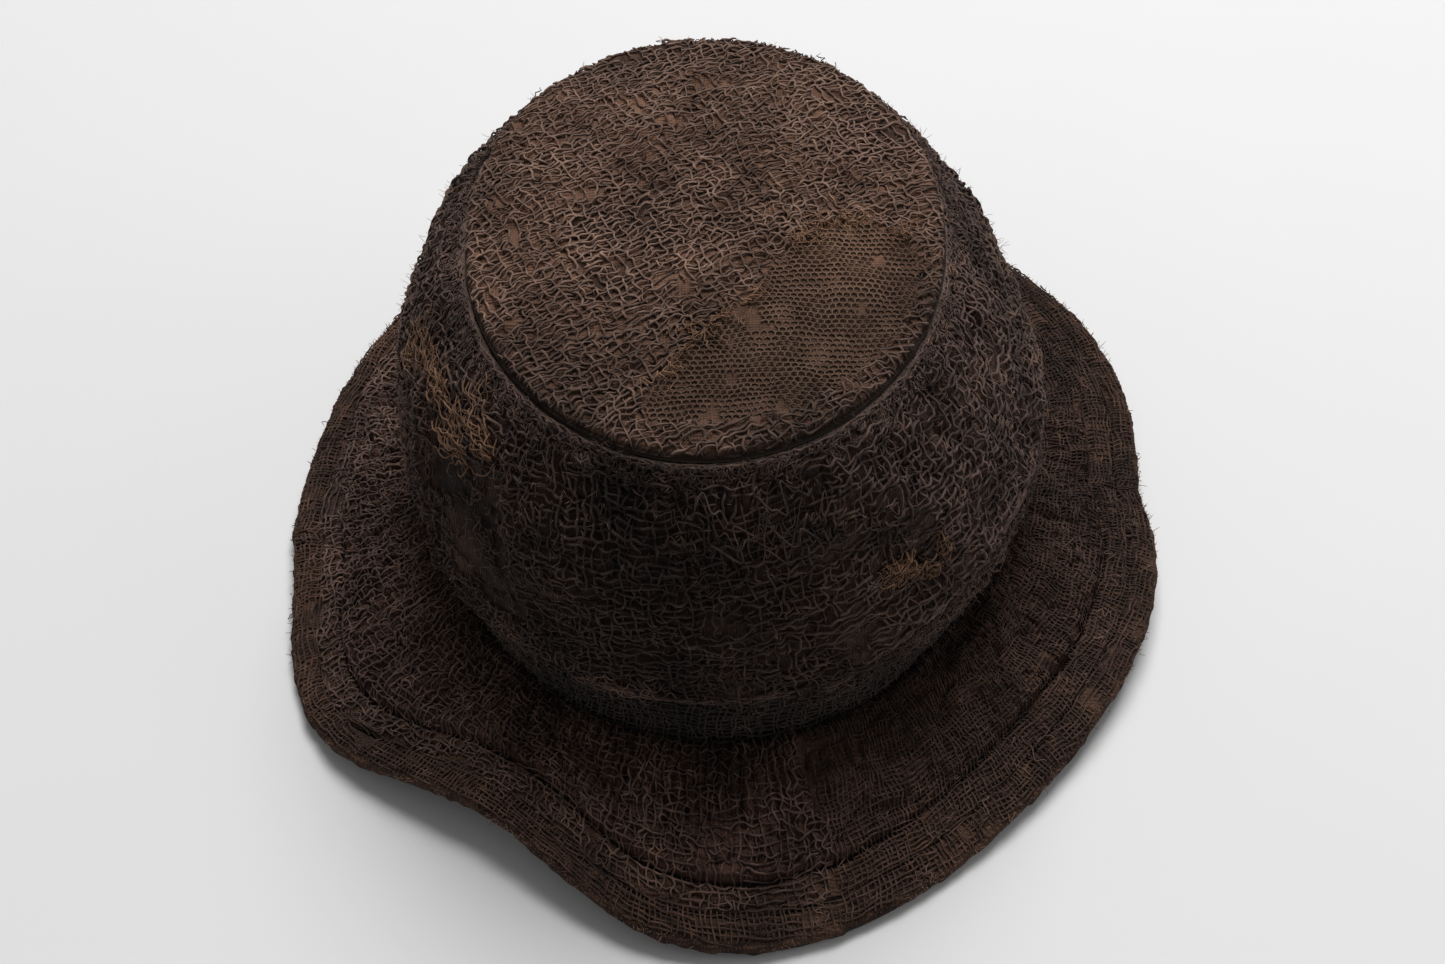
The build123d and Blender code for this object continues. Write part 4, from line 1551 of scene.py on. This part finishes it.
@dataclass
class Brim:
    """The wavy brim: coarse cloth, gauze on the left, a bound edge and a sewn-down ribbon.

    Args:
        root: the side of the crown, where the brim starts.
    """

    root: SideSurface
    step: float = 0.42 * MM
    binding: float = 8.3 * MM
    ribbon: tuple[float, float] = (8.7 * MM, 17.0 * MM)
    rib: float = 1.5 * MM
    gauze_span: tuple[float, float] = (math.radians(132), math.radians(282))
    tuck: float = 3.0 * MM
    edge_step: float = 0.36 * MM
    fold_places: int = 17
    pulled: int = 620
    edge_ends: int = 500
    crumple: Crumple = Crumple(171, 1.7 * MM, 1.5 * MM, 0.45 * MM, 4.2 * MM)

    def __post_init__(self) -> None:
        halves = ("front", "back")
        upper = [f"brim_{half}_{part}" for half in halves for part in ("top_cloth", "binding")]
        lower = [f"brim_{half}_{part}" for half in halves for part in ("under_cloth", "binding")]
        self.top = BrimSurface(upper, self.root)
        self.under = BrimSurface(lower, self.root, upper=False)
        self.around = TURN * self.top.mean
        self.edge_rows = int(math.pi * self.top.mean / self.edge_step)
        self.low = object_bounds()[0].z

    def from_edge(self, s: Array, b: Array) -> Array:
        """Distance in from the edge, at unrolled coordinates."""
        return (1 - b / self.top.width) * self.top.span(s / self.top.mean)

    def left(self, turn: Array) -> Array:
        """1 on the left, where the gauze lies over the cloth."""
        turn = turn % TURN
        low, high = self.gauze_span
        return smooth(low - 0.03, low + 0.05, turn) * (1 - smooth(high - 0.05, high + 0.03, turn))

    def tone(self, s: Array, b: Array) -> Array:
        """Paleness: painted shade against the crown, where the brim meets it, fading out towards the edge,
        over patches of dye.
        """
        grain = Grain(177)
        # painted shade in the corner where the brim meets the crown
        near = 1 - smooth(0.0, 0.30 * self.top.width, b)
        return 0.92 - 0.35 * near - 0.35 * np.clip(grain.at(s, b, 15 * MM, self.around), 0, 1)

    def cloth_height(self, s: Array, b: Array) -> Array:
        """Height of the coarse top cloth."""
        turn = s / self.top.mean
        inward = self.from_edge(s, b)
        grain = Grain(172)
        full = self.crumple.height(s, b, self.around)
        phase = TURN * s / (3.1 * MM) + 3 * grain.at(s, b, 12 * MM, self.around)
        ripples = 0.55 * MM * self.left(turn) * (1 + np.sin(phase))
        lumps = 1.5 * MM * np.abs(grain.at(s + 0.3, b, 9 * MM, self.around)) ** 0.7
        streaks = np.clip(grain.at(s + 0.9 * b, b * 2.5, 13 * MM, self.around), 0, 1)
        streaks = 1.8 * MM * streaks * (1 - self.left(turn))
        weave = 0.16 * MM * (np.sin(TURN * s / self.rib) * np.sin(TURN * b / self.rib))
        sewn = smooth(self.ribbon[1] - 0.5 * MM, self.ribbon[1] + 3.5 * MM, inward)
        root = smooth(0.0, 3.0 * MM, b)
        valley = -0.5 * MM * np.exp(-((inward - self.ribbon[1] - 1.0 * MM) / (1.2 * MM)) ** 2)
        return (full + ripples + streaks + lumps) * sewn * root + weave + valley - 0.3 * MM * (1 - sewn)

    def cloth(self, half: Half) -> bpy.types.Object:
        """The coarse top cloth of one half."""
        rows, columns = int(math.pi * self.top.mean / self.step), int(self.top.width / self.step)
        a, part = lattice((*half.value, rows), (0, 1, columns))
        b = part * self.top.share_from_edge(a, self.tuck)
        piece = panel(f"brim_{half.word}_coarse_cloth", self.top, a, b, self.cloth_height, BRIM_CLOTH,
                      self.tone, 1.1 * MM)
        return settle(piece, "brim_cloth", f"brim_{half.word}_top_cloth")

    def under_cloth(self, half: Half) -> bpy.types.Object:
        """The plain cloth of one half's underside."""
        a, part = lattice((*half.value, 620), (0, 1, 84))
        b = part * self.under.share_from_edge(a, self.tuck)
        grain = Grain(174)

        def height(s: Array, t: Array) -> Array:
            loose = 0.55 * MM * (0.5 + 0.5 * grain.at(s, t, 11 * MM, self.around))
            return loose * smooth(0, 3 * MM, t) + 0.12 * MM * grain.at(s, t, 2.2 * MM, self.around) - 0.3 * MM

        piece = panel(f"brim_{half.word}_under_cloth_sheet", self.under, a, b, height, UNDER_CLOTH)
        return settle(piece, "brim_cloth", f"brim_{half.word}_under_cloth")

    def gauze(self) -> bpy.types.Object:
        """The crinkled gauze over the left of the brim."""
        tubes = Tubes()
        low, high = (turn * self.top.mean for turn in self.gauze_span)
        grain = Grain(176)

        def inside(s: Array, b: Array) -> Array:
            inward = self.from_edge(s, b)
            ragged = 4 * MM * grain.at(b, s, 7 * MM)
            return ((inward > self.ribbon[0] + 1.5 * MM + 2 * MM * grain.at(s, b, 5 * MM)) & (b > 0.5 * MM)
                    & (s > low + ragged) & (s < high + ragged))

        weave = Weave(181, row_pitch=2.1 * MM, cross_pitch=2.0 * MM, radius=0.34 * MM, wander=0.8 * MM,
                      ripple=2.0 * MM, rise=0.8 * MM, openness=0.12)
        weave.lay(tubes, self.top, (low, high, 0, self.top.width), self.around, self.skin, inside, self.tone)
        return settle(tubes.build("brim_left_gauze_net", BRIM_YARN), "gauze", "brim_left_gauze")

    def skin(self, s: Array, b: Array) -> Array:
        """Height of whatever is on top: the cloth, the ribbon or the bound edge."""
        inward = self.from_edge(s, b)
        sewn = 0.5 * MM + 0.42 * self.crumple.height(s, b, self.around)
        groove = np.exp(-((inward - (self.binding + self.ribbon[0]) / 2) / (0.6 * MM)) ** 2)
        inner = smooth(self.ribbon[1] - 0.8 * MM, self.ribbon[1] + 0.4 * MM, inward)
        sewn = sewn * (1 - 0.8 * groove) * smooth(0.3 * MM, 2.0 * MM, inward)
        return self.cloth_height(s, b) * inner + sewn * (1 - inner)

    def threads(self, half: Half) -> bpy.types.Object:
        """The coarse threads that show on the cloth, ribbon and edge of one half."""
        tubes = Tubes(3)
        low, high = (turn * self.top.mean for turn in half.value)
        grain = Grain(186)

        def inside(s: Array, b: Array) -> Array:
            inward = self.from_edge(s, b)
            covered = (self.left(s / self.top.mean) > 0.5) & (inward > self.ribbon[0] + 1.5 * MM)
            return (s >= low) & (s <= high) & (inward > 1.2 * MM) & (b > 0.5 * MM) & ~covered

        def tone(s: Array, b: Array) -> Array:
            right = smooth(0.02, 0.09, self.top.mean * np.cos(s / self.top.mean))
            flecks = 0.25 * np.clip(grain.at(s, b, 3 * MM, self.around), 0, 1)
            return self.tone(s, b) * (1 - 0.25 * right) - flecks

        weave = Weave(187 + len(half.word), row_pitch=1.4 * MM, cross_pitch=1.35 * MM, radius=0.33 * MM,
                      wander=0.35 * MM, ripple=2.6 * MM, rise=0.45 * MM, slant=0.06, openness=0.05)
        weave.lay(tubes, self.top, (low, high, 0, self.top.width), self.around, self.skin, inside, tone)
        return settle(tubes.build(f"brim_{half.word}_coarse_threads", BRIM_THREAD), "brim_cloth")

    def ribs(self, s: Array, across: Array) -> Array:
        """The slanting ribs of the bound edge and ribbon."""
        grain = Grain(178)
        drift = grain.at(s, across, 6 * MM, self.around)
        wave = np.sin(TURN * (s / self.rib + 0.28 * across / MM) + 1.8 * drift)
        return 0.17 * MM * wave + 0.14 * MM * grain.at(s, across, 1.3 * MM, self.around)

    def hem_ribbon(self, half: Half) -> bpy.types.Object:
        """The ribbon sewn down inside the bound edge, on one half."""
        a, part = lattice((*half.value, self.edge_rows), (0, 1, 26))
        inward = self.ribbon[0] + (self.ribbon[1] - self.ribbon[0]) * part
        inward = inward + 0.5 * MM * Grain(179).at(a * self.top.mean, 0 * a, 9 * MM, self.around)
        b = self.top.share_from_edge(a, inward)

        def height(s: Array, t: Array) -> Array:
            arch = np.sin(math.pi * np.clip(part, 0.02, 0.98)) ** 0.4
            puff = 0.25 * MM * (1 + Grain(183).at(s, t, 8 * MM, self.around))
            crushed = 0.45 * self.crumple.height(s, t, self.around)
            return (0.2 * MM + puff + crushed + self.ribs(s, inward)) * arch

        piece = panel(f"brim_{half.word}_sewn_ribbon", self.top, a, b, height, HEM_TAPE, self.tone, 0.7 * MM)
        return settle(piece, "hem_ribbon", f"brim_{half.word}_hem_ribbon")

    def bound_edge(self, half: Half) -> bpy.types.Object:
        """The folded strip that wraps the brim's edge, on one half."""
        turns, part = lattice((*half.value, self.edge_rows), (0, 1, self.fold_places))
        grain = Grain(184)
        s = turns * self.top.mean
        ragged = 0.7 * MM * grain.at(s, 0 * s, 2.2 * MM, self.around)
        lip = 1.7 * MM + (ragged + 0.8 * MM * grain.at(s, 0 * s, 7 * MM, self.around))
        inward = self.binding + (lip - self.binding) * part
        arch = np.sin(math.pi / 2 * np.clip(part * 1.6 + 0.04, 0, 1)) ** 0.6
        swell = 0.2 * MM * (1 + grain.at(s, inward, 7 * MM, self.around))
        swell = swell + 0.4 * self.crumple.height(s, inward, self.around)
        stand = (0.1 * MM + swell + self.ribs(s, inward)) * arch
        over = self.top.lift(turns, self.top.share_from_edge(turns, inward), stand)
        inward, arch = inward[:, ::-1], arch[:, ::-1]
        below = self.under.lift(turns, self.under.share_from_edge(turns, inward), 0.15 * MM * arch)
        middle = (over[:, -1:] + below[:, :1]) / 2
        half_way = over[:, -1:] - middle
        out = np.stack([np.cos(turns), np.sin(turns), 0 * turns], -1) * (lip * 0.9)[..., None]
        bend = np.linspace(0, math.pi, 9)[None, 1:-1, None]
        lip_shape = middle + half_way * np.cos(bend) + out[:, :1] * np.sin(bend)
        points = np.concatenate([over, lip_shape, below], 1)
        points[..., 2] = np.maximum(points[..., 2], self.low)
        quads = grid_quads(*points.shape[:2])[:, ::-1]
        flecks_and_shade = 0.75 + 0.25 * grain.at(s[:, :1] + 0 * points[..., 0], points[..., 2] * 3, 4 * MM, self.around)
        # painted shade along the inner edge of the binding, in the groove beside the ribbon
        flecks_and_shade[:, :self.fold_places] *= smooth(-0.1, 0.12, part)
        piece = build_mesh(f"brim_{half.word}_bound_edge", points.reshape(-1, 3), quads, HEM_TAPE,
                           flecks_and_shade.ravel())
        return settle(piece, "hem_ribbon", f"brim_{half.word}_binding")

    def loose_threads(self) -> bpy.types.Object:
        """Pulled threads on the brim and short ends along the edge."""
        tubes = Tubes()
        rng = np.random.default_rng(190)
        spots = scatter(rng, self.pulled, self.around, 0.05, 0.95, self.top.width)
        spots = patchy(spots, 191, 14 * MM, self.around, 0.0)
        heads = rng.uniform(0, TURN, len(spots))
        strands(tubes, self.top, spots, heads, rng.uniform(3, 9, len(spots)) * MM, 192, radius=0.16 * MM,
                rise=1.0 * MM, curl=1.1 * MM, clear=1.3 * MM)
        edge = scatter(rng, self.edge_ends, self.around, 0.985, 0.985, self.top.width)
        heads = rng.uniform(-2.2, -0.9, len(edge))
        strands(tubes, self.top, edge, heads, rng.uniform(2, 5, len(edge)) * MM, 193, radius=0.12 * MM,
                rise=0.6 * MM, curl=0.6 * MM, clear=0.5 * MM, points=8)
        return settle(tubes.build("brim_loose_threads", BRIM_YARN), "yarn")

    def build(self) -> list[bpy.types.Object]:
        """Make the whole brim."""
        made = []
        for half in Half:
            made += [self.cloth(half), self.under_cloth(half), self.hem_ribbon(half), self.bound_edge(half),
                     self.threads(half)]
        return made + [self.gauze(), self.loose_threads()]


# ---------------- stitches and fuzz


@dataclass
class Stitching:
    """Every row of stitches, as bent threads."""

    side: CrownSide
    brim: Brim
    length: float = 3.2 * MM
    radius: float = 0.3 * MM

    def row(self, name: str, node: str, surface: Surface, number: int, b: Callable[[Array], Array],
            clear: float, inward: bool = False) -> bpy.types.Object:
        """One row.

        Args:
            name: the piece's name.
            node: the CAD node.
            surface: what the row is sewn through.
            number: of stitches.
            b: second coordinate for each angle.
            clear: height of a stitch's middle.
            inward: whether the row is on the side that faces the middle.

        Returns:
            The row.
        """
        rng = np.random.default_rng(number + len(name))
        turns = TURN * (np.arange(number) + 0.5 + 0.15 * rng.normal(0, 1, number)) / number
        tubes = Tubes(6)
        paths, normals = row_of_stitches(surface, turns, b(turns), clear, self.length, self.radius, inward)
        tubes.add(paths, normals, self.radius)
        return settle(tubes.build(name, THREAD), "thread", node)

    def build(self) -> list[bpy.types.Object]:
        """Make all five rows."""

        def level(node: str) -> Callable[[Array], Array]:
            low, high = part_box(node)
            return lambda turns: (low.z + high.z) / 2 + 0.3 * MM * np.sin(7 * turns)

        def along_edge(inward: float) -> Callable[[Array], Array]:
            return lambda turns: self.brim.top.share_from_edge(turns, inward)

        side, top = self.side.surface, self.brim.top
        inner = SideSurface(["sweatband"], outer=False)
        level_rows = [("tip_seam", side, 96, 2.1 * MM), ("band_seam", side, 96, 2.0 * MM),
                      ("sweatband", inner, 64, 0.35 * MM)]
        edge_rows = [("bound_edge", "binding", 6.9 * MM, 0.75 * MM),
                     ("ribbon", "hem_ribbon", 16.2 * MM, 0.95 * MM)]
        made = [self.row(f"{name}_threads", f"{name}_stitches", surface, number, level(f"{name}_stitches"),
                         clear, surface is inner) for name, surface, number, clear in level_rows]
        return made + [self.row(f"{name}_threads", f"{node}_stitches", top, 144, along_edge(inward), clear)
                       for name, node, inward, clear in edge_rows]


@dataclass
class Fuzz:
    """Short fibres that catch the light all over the hat."""

    tip: CrownTip
    side: CrownSide
    brim: Brim
    on_tip: int = 2600
    on_side: int = 3200
    on_brim: int = 3200
    on_edge: int = 3600

    def build(self) -> list[bpy.types.Object]:
        """Make the fibres."""
        tubes = Tubes(3)
        rng = np.random.default_rng(301)
        tip, side, brim = self.tip, self.side, self.brim
        half = tip.surface.half
        spots = rng.uniform(-half, half, (self.on_tip, 2))
        spots = spots[tip.surface.share(spots[:, 0], spots[:, 1]) < 0.95]
        fuzz(tubes, tip.surface, spots, tip.cloth_height(*spots.T) + 1.2 * MM, 302)
        spots = scatter(rng, self.on_side, side.around, 0.032, 0.127)
        fuzz(tubes, side.surface, spots, side.cloth_height(*spots.T) + 1.5 * MM, 303)
        spots = scatter(rng, self.on_brim, brim.around, 0.02, 0.99, brim.top.width)
        fuzz(tubes, brim.top, spots, np.maximum(brim.cloth_height(*spots.T), 0) + 0.5 * MM, 304)
        spots = scatter(rng, self.on_edge, brim.around, 0.975, 0.998, brim.top.width)
        spots = patchy(spots, 21, 6 * MM, brim.around, -0.2)
        fuzz(tubes, brim.top, spots, np.full(len(spots), 0.1 * MM), 305, 1.3 * MM, 0.10 * MM)
        return [settle(tubes.build("cloth_fuzz", TIP_YARN), "yarn")]


# ---------------- the studio


@dataclass
class Studio:
    """A pale table, soft light and a camera above the front of the hat.

    Args:
        target: what the camera and lamps face.
        distance: from the target to the camera.
        elevation: of the camera above the level.
        roll: of the camera about its own axis.
        lens: focal length, in the unit of the sensor.
        sensor: width of the sensor.
        world_light: strength of the light from all round.
        key: place, size and watts of the main lamp, behind and above the hat.
        fill: place, size and watts of the weak lamp on the right.
        table_reach: from the middle to the table's edges.
    """

    target: tuple[float, float, float] = (1.7 * MM, -32 * MM, 60 * MM)
    distance: float = 0.655
    elevation: float = math.radians(49)
    roll: float = math.radians(-2.7)
    lens: float = 54.3
    sensor: float = 36.0
    world_light: float = 0.36
    key: tuple[tuple[float, float, float], float, float] = ((0.30, 0.90, 2.0), 1.3, 82.0)
    fill: tuple[tuple[float, float, float], float, float] = ((1.2, -0.3, 0.9), 0.8, 2.5)
    table_reach: float = 6.0

    def floor(self) -> None:
        """The table."""
        low, far = CAD_BOX[0].z - 0.2 * MM, self.table_reach
        corners = np.array([(-far, -far, low), (far, -far, low), (far, far, low), (-far, far, low)])
        build_mesh("table_top", corners, np.array([[0, 1, 2, 3]]), TABLE)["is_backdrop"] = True

    def lamp(self, name: str, place: tuple[float, float, float], size: float, watts: float) -> None:
        """A square soft light that faces the hat."""
        light = bpy.data.lights.new(name, "AREA")
        light.size, light.energy = size, watts
        lamp = bpy.data.objects.new(name, light)
        lamp.location = place
        lamp.rotation_euler = (Vector(self.target) - Vector(place)).to_track_quat("-Z", "Y").to_euler()
        bpy.context.scene.collection.objects.link(lamp)

    def camera(self) -> None:
        """The camera, turned a little about its own axis."""
        rise, swing = math.sin(self.elevation), math.cos(self.elevation)
        back, right, up = Vector((0, -swing, rise)), Vector((1, 0, 0)), Vector((0, rise, swing))
        turned = right * math.cos(self.roll) + up * math.sin(self.roll)
        above = up * math.cos(self.roll) - right * math.sin(self.roll)
        view = bpy.data.objects.new("camera", bpy.data.cameras.new("camera"))
        view.data.lens, view.data.sensor_width = self.lens, self.sensor
        turn = Matrix((turned, above, back)).transposed()
        view.matrix_world = Matrix.Translation(Vector(self.target) + back * self.distance) @ turn.to_4x4()
        bpy.context.scene.collection.objects.link(view)
        bpy.context.scene.camera = view

    def build(self) -> None:
        """Set everything up."""
        scene = bpy.context.scene
        scene.view_settings.view_transform = "Standard"
        world = bpy.data.worlds.new("studio")
        world.use_nodes = True
        background = world.node_tree.nodes["Background"]
        background.inputs[0].default_value = (1, 1, 1, 1)
        background.inputs[1].default_value = self.world_light
        scene.world = world
        self.floor()
        self.lamp("key", *self.key)
        self.lamp("fill", *self.fill)
        self.camera()


# ---------------- putting it together


def keep_stiffener() -> None:
    """Give the stiffening cloth between the brim's layers its finish; it stays as in CAD."""
    for half in Half:
        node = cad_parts[f"brim_{half.word}_interlining"]
        node.data.materials.clear()
        node.data.materials.append(STIFFENER.material())


@dataclass(frozen=True)
class Cut:
    """The flat size of one piece of cloth before it was crushed and sewn.

    Args:
        piece: the piece's name.
        width: of the cut.
        length: of the cut.
        held: how it is held now.
        rests_on: what it lies on.
        area: of the cut, where it isn't a rectangle.
        going_with: threads and seams that belong to it.
    """

    piece: str
    width: float
    length: float
    held: str
    rests_on: tuple[str, ...] = ()
    area: float | None = None
    going_with: tuple[str, ...] = ()


def main() -> None:
    """Build the hat in order, then the studio."""
    logging.basicConfig(level=logging.INFO, format="%(message)s")
    tip, side = CrownTip(), CrownSide()
    brim = Brim(side.surface)
    made = tip.build() + side.build() + HatBand(side).build() + Sweatband().build() + brim.build()
    made += Stitching(side, brim).build() + Fuzz(tip, side, brim).build()
    keep_stiffener()
    LOG.info("%d faces in %d pieces", sum(len(piece.data.polygons) for piece in made), len(made))
    Studio().build()


if __name__ == "__main__":
    main()
